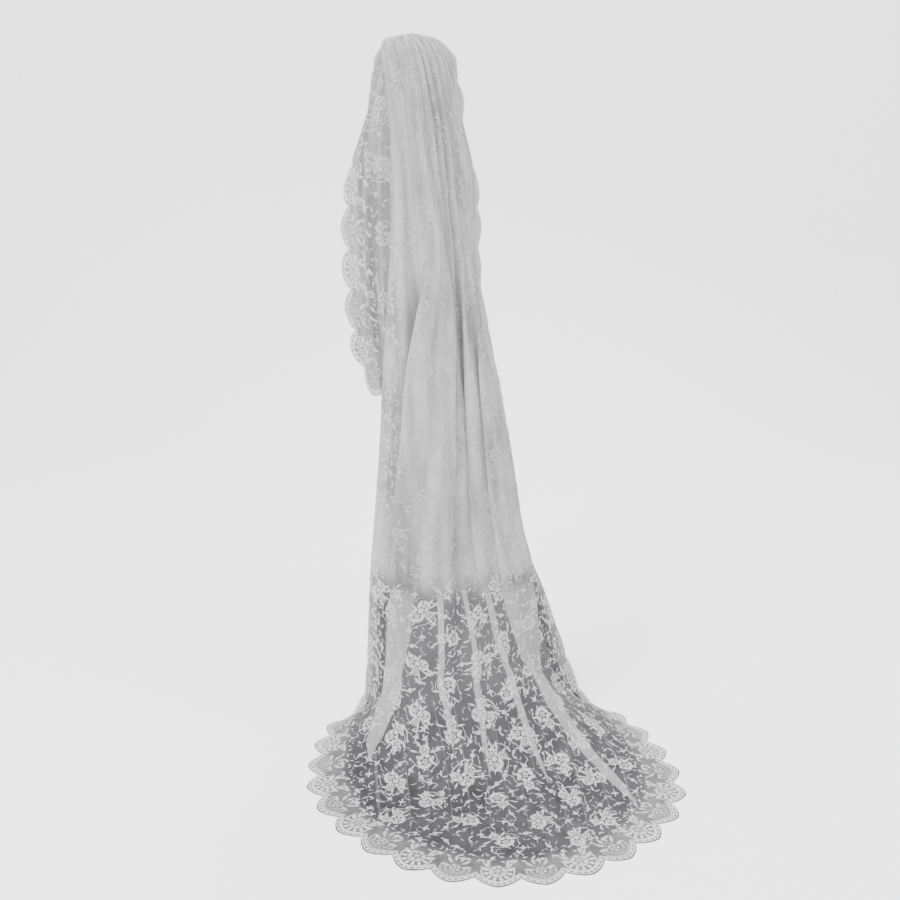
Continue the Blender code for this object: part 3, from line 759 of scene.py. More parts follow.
def make_piece(
    name: str, points: Array, faces: Array, uv: Array, values: dict[str, Array], smooth: bool = True
) -> bpy.types.Object:
    """An object from whole arrays.

    Args:
        name: The piece's name.
        points: Its vertices.
        faces: Its faces, all with the same number of corners.
        uv: A flat coordinate in metres for each vertex.
        values: Named values for each vertex.
        smooth: Whether its faces are shaded smooth.

    Returns:
        The object, linked to the scene.
    """
    mesh = bpy.data.meshes.new(name)
    mesh.vertices.add(len(points))
    mesh.vertices.foreach_set("co", np.asarray(points, dtype=np.float32).ravel())
    corners = faces.shape[1]
    mesh.loops.add(faces.size)
    mesh.loops.foreach_set("vertex_index", faces.astype(np.int32).ravel())
    mesh.polygons.add(len(faces))
    mesh.polygons.foreach_set("loop_start", np.arange(len(faces), dtype=np.int32) * corners)
    mesh.update(calc_edges=True)
    layer = mesh.uv_layers.new(name="flat")
    layer.data.foreach_set("uv", np.asarray(uv, dtype=np.float32)[faces.ravel()].ravel())
    for key, value in values.items():
        kept = mesh.attributes.new(key, "FLOAT", "POINT")
        kept.data.foreach_set("value", np.asarray(value, dtype=np.float32).ravel())
    mesh.polygons.foreach_set("use_smooth", np.full(len(faces), smooth))
    mesh.validate()
    piece = bpy.data.objects.new(name, mesh)
    bpy.context.scene.collection.objects.link(piece)
    return piece


def grid_faces(rows: int, columns: int, closed: bool = False) -> Array:
    """Four-cornered faces of a grid of points, facing outward when rows run down and columns to the right.

    Args:
        rows: How many rows of points there are.
        columns: How many points each row has.
        closed: Whether the last row joins the first.

    Returns:
        The faces, one row each.
    """
    index = np.arange(rows * columns).reshape(rows, columns)
    below = np.roll(index, -1, axis=0) if closed else index[1:]
    above = index if closed else index[:-1]
    return np.stack([above[:, :-1], below[:, :-1], below[:, 1:], above[:, 1:]], axis=-1).reshape(-1, 4)


@dataclass
class Sketch:
    """Flat lace in metres: fills and cords as triangles, with a height and a density at each point."""

    points: list[Array] = field(default_factory=list)
    heights: list[Array] = field(default_factory=list)
    densities: list[Array] = field(default_factory=list)
    faces: list[Array] = field(default_factory=list)
    count: int = 0

    rim_height: ClassVar[float] = 0.0001
    fill_height: ClassVar[float] = 0.0003
    cord_height: ClassVar[float] = 0.0006
    flat_cord: ClassVar[float] = 0.8
    ridged_from: ClassVar[float] = 0.0015
    fill_density: ClassVar[float] = 0.42
    cord_density: ClassVar[float] = 1.0

    def add(self, points: Array, heights: Array, densities: Array, faces: Array) -> None:
        """Adds points with their heights and densities, and the faces that join them."""
        self.points.append(points)
        self.heights.append(heights)
        self.densities.append(densities)
        self.faces.append(faces + self.count)
        self.count += len(points)

    def fill(self, outline: Array, density: float | None = None) -> None:
        """A filled shape: triangles from the middle of its outline, which stands a little higher."""
        n = len(outline)
        ring = np.arange(n)
        faces = np.stack([np.full(n, n), np.roll(ring, -1), ring], axis=1)
        heights = np.append(np.full(n, self.rim_height), self.fill_height)
        points = np.vstack([outline, outline.mean(axis=0)])
        densities = np.full(len(points), density or self.fill_density)
        self.add(points, heights, densities, self.facing_up(points, faces))

    def cord(self, path: Array, width: float, closed: bool = False, density: float | None = None) -> None:
        """A cord along a path: a ridge of two sloping faces, as wide as the cord."""
        if closed:
            ahead = np.roll(path, -1, axis=0) - np.roll(path, 1, axis=0)
        else:
            ahead = np.gradient(path, axis=0)
        ahead /= np.maximum(np.linalg.norm(ahead, axis=1, keepdims=True), 1e-9)
        side = np.stack([-ahead[:, 1], ahead[:, 0]], axis=1) * width / 2
        if width < self.ridged_from:
            rows = np.stack([path + side, path - side], axis=1)
            heights = np.full(2 * len(path), self.flat_cord * self.cord_height)
        else:
            rows = np.stack([path + side, path, path - side], axis=1)
            heights = np.tile([self.rim_height, self.cord_height, self.rim_height], len(path))
        quads = grid_faces(len(path), rows.shape[1], closed)
        faces = np.vstack([quads[:, [0, 1, 2]], quads[:, [0, 2, 3]]])
        points = rows.reshape(-1, 2)
        densities = np.full(len(points), density or self.cord_density)
        self.add(points, heights, densities, self.facing_up(points, faces))

    def facing_up(self, points: Array, faces: Array) -> Array:
        """The faces, each turned so that its corners run counter-clockwise."""
        a, b, c = (points[faces[:, k]] for k in range(3))
        (x, y), (u, v) = (b - a).T, (c - a).T
        return np.where((x * v < y * u)[:, None], faces[:, ::-1], faces)

    def merge(self, other: Sketch, turn: float, shift: tuple[float, float]) -> None:
        """Adds another sketch, turned and moved."""
        points, heights, densities, faces = other.arrays()
        self.add(turned(points, turn, shift), heights, densities, faces)

    def arrays(self) -> tuple[Array, Array, Array, Array]:
        """All points, heights, densities and faces."""
        heights = np.concatenate(self.heights)
        densities = np.concatenate(self.densities)
        return np.vstack(self.points), heights, densities, np.vstack(self.faces)


def blade(
    length: float, width: float, belly: float = 1.0, blunt: float = 1.0, bend: float = 0.0, steps: int = 6
) -> Array:
    """The outline of a leaf or petal along +x: a half sine of its length wide, bent as a parabola.

    Args:
        length: From its foot to its tip.
        width: Across its widest place.
        belly: Above 1 puts the widest place nearer the tip.
        blunt: Below 1 makes its ends rounder.
        bend: How far the tip lies to the side.
        steps: Points on each side.

    Returns:
        A closed outline.
    """
    t = np.linspace(0.0, 1.0, steps + 1)
    half = width / 2 * np.sin(np.pi * t**belly) ** blunt
    out = np.stack([t * length, bend * t**2 + half], axis=1)
    back = np.stack([t * length, bend * t**2 - half], axis=1)[::-1]
    return np.vstack([out, back[1:-1]])


def turned(points: Array, angle: float, shift: tuple[float, float] = (0.0, 0.0)) -> Array:
    """Flat points turned about the origin, then moved."""
    c, s = np.cos(angle), np.sin(angle)
    return points @ np.array([[c, s], [-s, c]]) + shift


class LacePatterns:
    """The lace maker's set of motifs, each a flat sketch."""

    cord_width: ClassVar[float] = 0.0011
    bouquet_plans: ClassVar[tuple[tuple[int, Rows, int], ...]] = (
        (3, ((-0.013, 0.004, 0.0170), (0.014, -0.008, 0.0135), (0.010, 0.017, 0.0095)), 9),
        (8, ((0.000, 0.008, 0.0180), (-0.019, -0.011, 0.0115), (0.019, -0.009, 0.0120)), 10),
        (5, ((-0.008, -0.004, 0.0185), (0.018, 0.009, 0.0120)), 9),
    )
    fan_rose: ClassVar[float] = 0.0185
    fan_petals: ClassVar[int] = 8
    fan_cords: ClassVar[Rows] = (
        (0.0200, 0.0022),
        (0.0385, 0.0034),
    )
    eyelet_rose: ClassVar[float] = 0.0125
    eyelet_rows: ClassVar[Rows] = (
        (0.0195, 9),
        (0.0285, 13),
    )
    wisp_strokes: ClassVar[tuple[Rows, ...]] = (
        ((0.013, 0.0034, 0.004, 0.0),),
        ((0.018, 0.0030, -0.006, 0.3),),
        ((0.010, 0.0030, 0.003, 0.4), (0.011, 0.0030, -0.003, 2.7)),
    )
    fan_leaves: ClassVar[Rows] = (
        (0.10, 0.030),
        (0.50, 0.028),
        (0.95, 0.022),
    )
    eyelet_leaves: ClassVar[Rows] = (
        (0.0, 0.024, 0.014, 0.42),
        (0.6, 0.026, 0.012, 0.55),
        (1.2, 0.020, 0.006, 0.64),
    )
    seam_leaves: ClassVar[Rows] = (
        (0.04, 0.011, 1.1, 0.96),
        (0.20, 0.008, 2.3, 1.00),
        (0.31, 0.013, 0.1, 0.93),
        (0.52, 0.009, 1.7, 1.01),
        (0.66, 0.012, 2.9, 0.97),
        (0.83, 0.010, 0.8, 0.94),
        (0.02, 0.017, -0.5, 0.84),
        (0.24, 0.013, 0.4, 0.77),
        (0.42, 0.016, 2.7, 0.86),
        (0.58, 0.012, -0.3, 0.80),
        (0.78, 0.018, 0.2, 0.78),
        (0.96, 0.012, 2.2, 0.74),
    )

    def petal(self, sketch: Sketch, outline: Array, cord: float | None = None) -> None:
        """A filled petal with a cord round it."""
        sketch.fill(outline)
        sketch.cord(outline, cord or self.cord_width, closed=True)

    def rose(self, radius: float, petals: int = 6) -> Sketch:
        """A rose: a ring of broad petals, a ring of small ones turned half a step, and a spiral heart."""
        sketch = Sketch()
        for k in range(petals):
            angle = 2 * np.pi * k / petals
            outer = blade(0.50 * radius, 0.80 * radius, 1.25, 0.60, 0.05 * radius, 5)
            sketch.fill(turned(outer + (0.50 * radius, 0.0), angle), 0.80)
        for k in range(petals - 1):
            angle = 2 * np.pi * (k + 0.5) / (petals - 1)
            inner = blade(0.26 * radius, 0.34 * radius, 1.3, 0.6, 0.0, 3)
            sketch.fill(turned(inner + (0.16 * radius, 0.0), angle), 0.85)
        sketch.cord(self.ring(1.03 * radius, 18), self.cord_width, closed=True, density=0.55)
        turn = np.linspace(0.0, 3.4 * np.pi, 13)
        reach = radius * (0.03 + 0.008 * turn)
        sketch.cord(np.stack([reach * np.cos(turn), reach * np.sin(turn)], axis=1), self.cord_width)
        return sketch

    def leaf(self, length: float, width: float, bend: float) -> Sketch:
        """A leaf: a filled blade with a cord round it and a cord for its rib."""
        sketch = Sketch()
        sketch.fill(blade(length, width, 0.9, 0.9, bend, 5), 0.74)
        t = np.linspace(-0.15, 0.9, 4)
        sketch.cord(np.stack([t * length, bend * t * np.abs(t)], axis=1), 0.8 * self.cord_width)
        return sketch

    def bud(self, radius: float) -> Sketch:
        """A bud: three short petals from one foot."""
        sketch = Sketch()
        for angle in (-0.7, 0.0, 0.7):
            shape = turned(blade(2 * radius, radius, 1.2, 0.7, 0.0, 3), angle)
            self.petal(sketch, shape, 0.8 * self.cord_width)
        return sketch

    def spray(self, seed: int, roses: tuple[tuple[float, float, float], ...], leaves: int) -> Sketch:
        """A bouquet: roses at given places with leaves, buds and tendrils that reach out round them.

        Args:
            seed: The seed of its leaves.
            roses: (x, y, radius) of each rose.
            leaves: How many leaves stand round it.

        Returns:
            The bouquet's sketch.
        """
        sketch = Sketch()
        rng = np.random.default_rng(seed)
        centre = np.mean([rose[:2] for rose in roses], axis=0)
        for k in range(leaves):
            angle = 2 * np.pi * (k + 0.3 * rng.random()) / leaves
            start = centre + (0.011 + 0.008 * rng.random()) * np.array([1.35 * np.cos(angle), np.sin(angle)])
            length = 0.017 + 0.011 * rng.random()
            if k % 4 == 3:
                kind = self.bud(0.0040)
            else:
                kind = self.leaf(length, 0.0050, 0.006 * (rng.random() - 0.5))
            sketch.merge(kind, angle + 0.5 * (rng.random() - 0.5), tuple(start))
        for x, y, radius in roses:
            sketch.merge(self.rose(radius), rng.random() * 6, (x, y))
        for k in range(3):
            angle = rng.random() * 6.28
            t = np.linspace(0.0, 1.0, 7)
            curl = angle + 1.8 * t**2
            reach = 0.022 + 0.020 * t
            tendril = centre + np.stack([reach * np.cos(curl), 0.8 * reach * np.sin(curl)], axis=1)
            sketch.cord(tendril, self.cord_width)
            sketch.merge(self.bud(0.0022), curl[-1], tuple(tendril[-1]))
        return sketch

    def sprigs(self) -> list[Sketch]:
        """Small sprigs: a pair of commas, three leaves on a stem, and a small flower with two leaves."""
        pair, stem, flower = Sketch(), Sketch(), Sketch()
        pair.merge(self.leaf(0.016, 0.0052, 0.005), 0.2, (0.001, 0.0))
        pair.merge(self.leaf(0.012, 0.0044, -0.004), 2.6, (-0.001, 0.001))
        for angle, length in ((0.9, 0.012), (0.0, 0.016), (-0.9, 0.011)):
            stem.merge(self.leaf(length, 0.0046, 0.002), angle, (0.003, 0.0))
        stem.cord(np.array([[-0.010, -0.002], [-0.004, 0.0], [0.003, 0.0]]), self.cord_width)
        for k in range(5):
            self.petal(flower, turned(blade(0.0062, 0.0048, 1.2, 0.6, 0.0, 3), 2 * np.pi * k / 5), 0.0009)
        flower.merge(self.leaf(0.012, 0.0042, 0.003), 0.5, (0.005, 0.002))
        flower.merge(self.leaf(0.011, 0.0042, -0.003), 3.5, (-0.005, -0.002))
        return [pair, stem, flower]

    def wisps(self) -> list[Sketch]:
        """Faint single threadwork strokes: a short comma, a longer one and a pair."""
        kinds = []
        for strokes in self.wisp_strokes:
            sketch = Sketch()
            for length, width, bend, turn in strokes:
                sketch.fill(turned(blade(length, width, 0.9, 0.8, bend, 3), turn), 0.50)
            kinds.append(sketch)
        return kinds

    def ring(self, radius: float, sides: int = 7) -> Array:
        """A ring of points."""
        angle = np.linspace(0.0, 2 * np.pi, sides, endpoint=False)
        return radius * np.stack([np.cos(angle), np.sin(angle)], axis=1)

    def scallop(self, style: Style, pitch: float, depth: float) -> Sketch:
        """One scallop's lace, from 0 to pitch along the edge and from 0 at the edge to depth inside it.

        Args:
            style: Which pattern it carries.
            pitch: The scallop's length along the edge.
            depth: The border's depth.

        Returns:
            The sketch, with x along the edge and y into the cloth.
        """
        sketch = Sketch()
        middle = pitch / 2
        if style is Style.ROSE:
            heart = (middle, 0.42 * depth)
            sketch.merge(self.rose(self.fan_rose), 0.3, heart)
            for k in range(self.fan_petals):
                petal = blade(0.0150, 0.0086, 1.0, 0.55, 0.0, 4) + (0.0215, 0.0)
                sketch.fill(turned(petal, np.pi * (0.955 + 0.156 * k), heart), 0.95)
            arc = np.pi * np.linspace(0.90, 2.10, 23)
            for reach, width in self.fan_cords:
                ring = np.stack([reach * np.cos(arc), reach * np.sin(arc)], axis=1) + heart
                sketch.cord(ring, width)
            for side in (-1, 1):
                for k, (turn, length) in enumerate(self.fan_leaves):
                    angle = turn if side > 0 else np.pi - turn
                    start = (middle + side * (0.016 + 0.002 * k), 0.46 * depth + 0.008 * k)
                    sketch.merge(self.leaf(length, 0.0088, side * 0.006), angle, start)
        else:
            heart = (middle, 0.36 * depth)
            sketch.merge(self.rose(self.eyelet_rose, 5), 0.8, heart)
            for row, (reach, count) in enumerate(self.eyelet_rows):
                for k in range(count):
                    angle = np.pi * (0.95 + 1.10 * k / (count - 1))
                    spot = (middle + 1.2 * reach * np.cos(angle), 0.36 * depth + reach * np.sin(angle))
                    sketch.cord(self.ring(0.0034 - 0.0004 * row) + spot, 0.0014, closed=True)
            for side in (-1, 1):
                for turn, length, out, up in self.eyelet_leaves:
                    angle = turn if side > 0 else np.pi - turn
                    start = (middle + side * out, up * depth)
                    sketch.merge(self.leaf(length, 0.0085, side * 0.005), angle, start)
        for place, length, turn, up in self.seam_leaves:
            leaf = self.leaf(length, 0.44 * length, 0.16 * length)
            sketch.merge(leaf, turn if style is Style.ROSE else np.pi - turn, (place * pitch, up * depth))
        return sketch


# Shading


class Wire:
    """A shader value: arithmetic on it is written as on a number and adds Math nodes."""

    def __init__(self, graph: Graph, socket: bpy.types.NodeSocket) -> None:
        """Wraps an output socket of the graph."""
        self.graph = graph
        self.socket = socket

    def joined(self, operation: str, left: Wire | float, right: Wire | float) -> Wire:
        """The result of one Math node."""
        return self.graph.node("ShaderNodeMath", {"operation": operation}, {0: left, 1: right})

    def __add__(self, other: Wire | float) -> Wire:
        """This plus other."""
        return self.joined("ADD", self, other)

    def __radd__(self, other: float) -> Wire:
        """Other plus this."""
        return self.joined("ADD", other, self)

    def __sub__(self, other: Wire | float) -> Wire:
        """This less other."""
        return self.joined("SUBTRACT", self, other)

    def __rsub__(self, other: float) -> Wire:
        """Other less this."""
        return self.joined("SUBTRACT", other, self)

    def __mul__(self, other: Wire | float) -> Wire:
        """This times other."""
        return self.joined("MULTIPLY", self, other)

    def __rmul__(self, other: float) -> Wire:
        """Other times this."""
        return self.joined("MULTIPLY", other, self)

    def at_most(self, other: Wire | float) -> Wire:
        """The smaller of this and other."""
        return self.joined("MINIMUM", self, other)

    def at_least(self, other: Wire | float) -> Wire:
        """The larger of this and other."""
        return self.joined("MAXIMUM", self, other)

    def power(self, exponent: float) -> Wire:
        """This to a power."""
        return self.joined("POWER", self, exponent)

    def sine(self) -> Wire:
        """The sine of this."""
        return self.joined("SINE", self, 0.0)


class Graph:
    """A material's nodes round its Principled shader."""

    def __init__(self, name: str) -> None:
        """Starts a material of that name."""
        self.material = bpy.data.materials.new(name)
        self.material.use_nodes = True
        self.tree = self.material.node_tree
        self.shader = self.tree.nodes["Principled BSDF"]

    def node(
        self, kind: str, settings: dict[str, object], values: dict[int | str, object], output: int | str = 0
    ) -> Wire:
        """Adds a node.

        Args:
            kind: The node's type.
            settings: Its properties, set first.
            values: What each input socket holds or is linked to.
            output: Which output is wanted.

        Returns:
            That output.
        """
        made = self.tree.nodes.new(kind)
        for key, setting in settings.items():
            setattr(made, key, setting)
        for key, value in values.items():
            self.feed(made.inputs[key], value)
        return Wire(self, made.outputs[output])

    def feed(self, socket: bpy.types.NodeSocket, value: object) -> None:
        """Links a wire to a socket, or sets the socket's value."""
        if isinstance(value, Wire):
            self.tree.links.new(value.socket, socket)
        else:
            socket.default_value = value

    def set(self, **values: object) -> None:
        """Sets or links inputs of the shader, named with _ for each space."""
        for key, value in values.items():
            self.feed(self.shader.inputs[key.replace("_", " ")], value)

    def attribute(self, name: str) -> Wire:
        """A value kept at the mesh's points."""
        return self.node("ShaderNodeAttribute", {"attribute_name": name}, {}, "Fac")

    def flat(self) -> tuple[Wire, Wire]:
        """The two flat coordinates, in metres of cloth."""
        uv = self.node("ShaderNodeUVMap", {"uv_map": "flat"}, {})
        across, along = (self.node("ShaderNodeSeparateXYZ", {}, {0: uv}, axis) for axis in (0, 1))
        return across, along

    def noise(
        self, scale: float, detail: float, stretch: tuple[float, float, float] = (1.0, 1.0, 1.0)
    ) -> Wire:
        """Noise over the object's own coordinates, from 0 to 1."""
        place = self.node("ShaderNodeTexCoord", {}, {}, "Object")
        place = self.node("ShaderNodeMapping", {}, {"Vector": place, "Scale": stretch})
        return self.node("ShaderNodeTexNoise", {}, {"Vector": place, "Scale": scale, "Detail": detail}, 0)

    def blend(self, share: Wire, first: tuple[float, ...], second: tuple[float, ...]) -> Wire:
        """A colour between two, by a share from 0 to 1."""
        return self.node(
            "ShaderNodeMix", {"data_type": "RGBA"}, {"Factor": share, 6: (*first, 1.0), 7: (*second, 1.0)}, 2
        )

    def bump(self, height: Wire, distance: float, strength: float) -> Wire:
        """A normal from a height."""
        values = {"Height": height, "Distance": distance, "Strength": strength}
        return self.node("ShaderNodeBump", {}, values, "Normal")


@dataclass(frozen=True)
class NetFinish:
    """Sheer net: a mesh of fine threads, pale high up and in pleats, and painted dark grey where one layer
    hangs low, as shade for the ground and shadow seen through it.
    """

    # shade is painted shade: the dark grey the net takes where it hangs low; light is the net's own pale
    # colour.
    shade: tuple[float, float, float] = (0.0215, 0.0200, 0.0245)
    light: tuple[float, float, float] = (0.315, 0.317, 0.315)
    cell: float = 0.0022
    cover: float = 0.965
    weave_contrast: float = 0.22
    hole_depth: float = 0.12
    band_reach: float = 1.08
    band_edge: float = 8.0
    line_edge: float = 90.0
    mottle_share: float = 1.2
    grain_share: float = 1.4
    least_drift: float = 0.08
    pleat_tone: float = 0.64
    pleat_grain: float = 0.2
    line_tone: float = 0.24

    def build(self, name: str) -> bpy.types.Material:
        """The material: tone kept in the mesh with its painted shade, crisp pleat bands and crease lines,
        and a net pattern.
        """
        graph = Graph(name)
        across, along = graph.flat()
        turn = 2 * np.pi / self.cell
        slant = across * 0.5 + along * 0.866
        other = across * 0.5 - along * 0.866
        threads = [(wave * turn).sine() for wave in (across, slant, other)]
        mesh = (threads[0] + threads[1] + threads[2]) * self.weave_contrast + 0.5
        band = (self.band_reach - graph.attribute("pleat")) * self.band_edge
        band = band.at_least(0.0).at_most(1.0) * graph.attribute("low")
        off_line = (graph.attribute("crease") * np.pi).sine()
        line = 1 - (off_line * off_line) * self.line_edge
        line = line.at_least(0.0) * graph.attribute("low") * graph.attribute("lines")
        mottle = graph.noise(6.0, 3.0) - 0.5
        grain = graph.noise(34.0, 3.0, (1.0, 1.0, 0.08)) - 0.5
        drift = mottle * self.mottle_share + grain * self.grain_share
        # The mesh's tone carries the painted shade: near 0 where one layer hangs low.
        tone = graph.attribute("tone") + drift * (graph.attribute("tone") + self.least_drift)
        # Pleat bands and crease lines lift the tone out of the painted shade, where the cloth lies doubled
        # and pale.
        tone = tone.at_least(band * self.pleat_tone + grain * self.pleat_grain)
        tone = tone.at_least(line * self.line_tone)
        tone = tone.at_least(0.0).at_most(1.0)
        graph.set(
            Base_Color=graph.blend(tone, self.shade, self.light),
            Alpha=((mesh * self.hole_depth + (1 - self.hole_depth / 2)) * self.cover).at_most(1.0),
            Roughness=0.62,
            Normal=graph.bump(mesh, 0.0003, 0.25),
        )
        graph.set(Sheen_Weight=0.08, Sheen_Roughness=0.4, Specular_IOR_Level=0.2)
        return graph.material


@dataclass(frozen=True)
class LaceFinish:
    """Corded lace: matt thread fills that let a little light through, and solid cords."""

    shade: tuple[float, float, float] = (0.24, 0.24, 0.24)
    light: tuple[float, float, float] = (0.50, 0.50, 0.50)
    thread: float = 0.0009

    def build(self, name: str) -> bpy.types.Material:
        """The material: cover kept in the mesh, fine thread bumps and slight colour drift."""
        graph = Graph(name)
        density = graph.attribute("cover")
        tone = graph.attribute("tone")
        across, along = graph.flat()
        turn = 2 * np.pi / self.thread
        threads = ((across + along) * turn).sine() * 0.5 + ((across - along) * turn).sine() * 0.5
        drift = graph.noise(40.0, 2.0) - 0.5
        graph.set(
            Base_Color=graph.blend((tone + drift * 0.25).at_least(0.0).at_most(1.0), self.shade, self.light),
            Alpha=(density + threads * 0.10).at_least(0.0).at_most(1.0),
            Roughness=0.70,
            Normal=graph.bump(threads, 0.0002, 0.35),
        )
        graph.set(Sheen_Weight=0.1, Sheen_Roughness=0.5, Specular_IOR_Level=0.2)
        return graph.material


@dataclass(frozen=True)
class SatinFinish:
    """Satin ribbon: smooth, with fine threads along it."""

    colour: tuple[float, float, float] = (0.66, 0.66, 0.64)
    shade: tuple[float, float, float] = (0.52, 0.52, 0.50)

    def build(self, name: str) -> bpy.types.Material:
        """The material: long thin streaks along the ribbon in colour, gloss and bump."""
        graph = Graph(name)
        streaks = graph.noise(60.0, 4.0, (0.6, 8.0, 8.0))
        graph.set(
            Base_Color=graph.blend(streaks, self.shade, self.colour),
            Roughness=streaks * 0.2 + 0.28,
            Normal=graph.bump(streaks, 0.0002, 0.3),
        )
        graph.set(Sheen_Weight=0.4, Sheen_Roughness=0.3)
        return graph.material


@dataclass(frozen=True)
class SteelFinish:
    """Polished wire, faintly brushed and duller in patches."""

    colour: tuple[float, float, float] = (0.72, 0.72, 0.73)
    dull: tuple[float, float, float] = (0.56, 0.56, 0.57)

    def build(self, name: str) -> bpy.types.Material:
        """The material: metal whose gloss and colour drift a little."""
        graph = Graph(name)
        patches = graph.noise(120.0, 3.0)
        graph.set(
            Base_Color=graph.blend(patches, self.colour, self.dull),
            Roughness=patches * 0.15 + 0.15,
            Normal=graph.bump(graph.noise(900.0, 2.0, (0.1, 1.0, 1.0)), 0.0001, 0.2),
        )
        graph.set(Metallic=1.0)
        return graph.material


@dataclass(frozen=True)
class FloorFinish:
    """Plain pale studio floor."""

    colour: tuple[float, float, float] = (0.95, 0.95, 0.95)
    dull: tuple[float, float, float] = (0.93, 0.93, 0.93)

    def build(self, name: str) -> bpy.types.Material:
        """The material: matt, with a colour that hardly drifts."""
        graph = Graph(name)
        graph.set(Base_Color=graph.blend(graph.noise(0.8, 2.0), self.colour, self.dull), Roughness=0.9)
        graph.set(Specular_IOR_Level=0.1)
        return graph.material


# The veil


def ride_and_replace(
    piece: bpy.types.Object, material: bpy.types.Material, node: str | None = None
) -> None:
    """Gives a piece its material, its body and the node that it stands for."""
    piece.data.materials.append(material)
    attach(piece, "root")
    if node:
        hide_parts(node)
    log.info("%s: %d faces", piece.name, len(piece.data.polygons))


Laid = tuple[Sketch, Array, Array, Array]


@dataclass
class TierDresser:
    """One tier of the veil: its net, its lace, and its border with cords, roses, petals and eyelets."""

    tier: Tier
    net: bpy.types.Material
    lace: bpy.types.Material
    flat_size: tuple[float, float]
    flat_area: float
    seed: int
    column_station: float = 1.45
    fold_margin: float = 0.012
    fold_closeness: float = 2.0
    bouquet_pitch: float = 0.158
    bouquet_room: float = 0.028
    bouquet_first: float = 0.14
    sprig_pitch: float = 0.050
    sprig_room: float = 0.006
    sprig_first: float = 0.08
    sprig_clearance: float = 0.046
    wisp_pitch: float = 0.034
    wisp_room: float = 0.004
    wisp_first: float = 0.06
    wisp_clearance: float = 0.034
    shift_across: float = 0.10
    shift_along: float = 0.12
    scallop_pitch: float = 0.100
    scallop_rise: float = 0.017
    scallop_dip: float = 0.014
    scallop_first: float = 0.12
    arch_share: float = 0.74
    lace_lift: float = 0.0006
    border_lift: float = 0.0004
    # The tone of the painted shade where the net hangs low, below low_below; above high_above the net is
    # fully pale.
    low_painted_shade: float = 0.05
    low_below: float = 0.375
    high_above: float = 0.485
    border_tone: float = 0.27
    bar_pitch: float = 0.0125
    bar_length: float = 0.0100
    bar_width: float = 0.0068
    bar_depth: float = 0.0082
    floor_room: float = 0.002
    border_paler: float = 0.22
    low_lace_tone: float = 0.95
    flare: float = 0.0
    flare_depth: float = 0.030
    flare_start: float = 0.15
    flare_full: float = 0.35
    # Painted light and shade in streaks across the net high up, for its soft folds.
    broad_fold_shading: float = 0.10
    fine_fold_shading: float = 0.07
    lines_start: tuple[float, float] = (1.75, 1.95)
    lines_end: tuple[float, float] = (2.25, 2.42)
    seam_overlap: float = 0.004
    ground_overlap: float = 0.014
    ground_pitch: float = 0.0042
    # The border net's outermost share is painted dark, a thin shadow line along the scalloped edge.
    edge_shadow_share: float = 0.030
    edge_shadow_tone: float = 0.10
    cord_pitch: float = 0.0045
    cloth: VeilCloth = field(init=False)
    edge: Edge = field(init=False)
    patterns: LacePatterns = field(default_factory=LacePatterns)

    def __post_init__(self) -> None:
        """Works out the cloth and its edge."""
        self.cloth = VeilCloth(self.tier)
        self.edge = Edge(self.cloth)

    def tone(self, places: Array, stations: Array, points: Array) -> Array:
        """How pale the net is painted: pale high up and in doubled cloth, and greyer where one layer hangs
        low, which is painted shade.

        Args:
            places: Places across.
            stations: Stations along.
            points: The points there.

        Returns:
            A value from 0, grey painted shade, to 1, pale.
        """
        high = self.high(points)
        # Painted fold shading: light and dark streaks across the net, high up only.
        streaks = self.broad_fold_shading * np.sin(37 * places + 3 * np.sin(2.1 * stations))
        streaks += self.fine_fold_shading * np.sin(83 * places + 1.0)
        return np.clip(high * (self.tier.paleness + streaks) + (1 - high) * self.low_painted_shade, 0.0, 1.0)

    def high(self, points: Array) -> Array:
        """1 where the net hangs high over other layers, and 0 where one layer lies low and takes the painted
        shade.
        """
        return rise(points[..., 2] + COMB_HEIGHT, self.low_below, self.high_above)

    def columns(self) -> Array:
        """Places across of the net's columns, closer together in the folds."""
        knots = [-1.0]
        widths = []
        middle = self.column_station
        width = self.cloth.value(self.cloth.width, middle)
        for centre, overlap in zip(self.cloth.centre, self.cloth.overlap):
            place = 2 * self.cloth.value(centre, middle) / width - 1
            half = 2 * (self.fold_margin + self.cloth.value(overlap, middle)) / width
            knots += [place - half, place + half]
            widths += [1.0, self.fold_closeness]
        knots.append(1.0)
        widths.append(1.0)
        knots_sorted = np.maximum.accumulate(np.array(knots))
        weight = np.concatenate([[0.0], np.cumsum(np.array(widths) * np.diff(knots_sorted))])
        return np.interp(np.linspace(0.0, weight[-1], self.tier.columns), weight, knots_sorted)

    def build_net(self) -> bpy.types.Object:
        """The net: a grid that follows the hem, ended a little inside the border's scallops."""
        places = self.columns()
        share = np.linspace(0.0, 1.0, self.tier.rows)[:, None]
        tier = self.tier
        drop = tier.hem_end - tier.hem_start - self.cloth.border_depth + 2 * self.seam_overlap
        hem = tier.hem_start + drop * np.sqrt(1 - places**2)
        stations = share * hem[None, :]
        width = self.cloth.value(self.cloth.width, stations)
        inset = (self.cloth.border(stations) - self.seam_overlap) / width
        across = places[None, :] * (1 - 2 * inset)
        points, _ = self.cloth.at(across, stations)
        uv = np.stack([across * width / 2, stations], axis=-1)
        piece = make_piece(
            self.tier.name + "_net",
            points.reshape(-1, 3),
            grid_faces(*across.shape),
            uv.reshape(-1, 2),
            self.net_values(across, stations, points, self.tone(across, stations, points)),
        )
        ride_and_replace(piece, self.net, self.tier.name)
        return piece

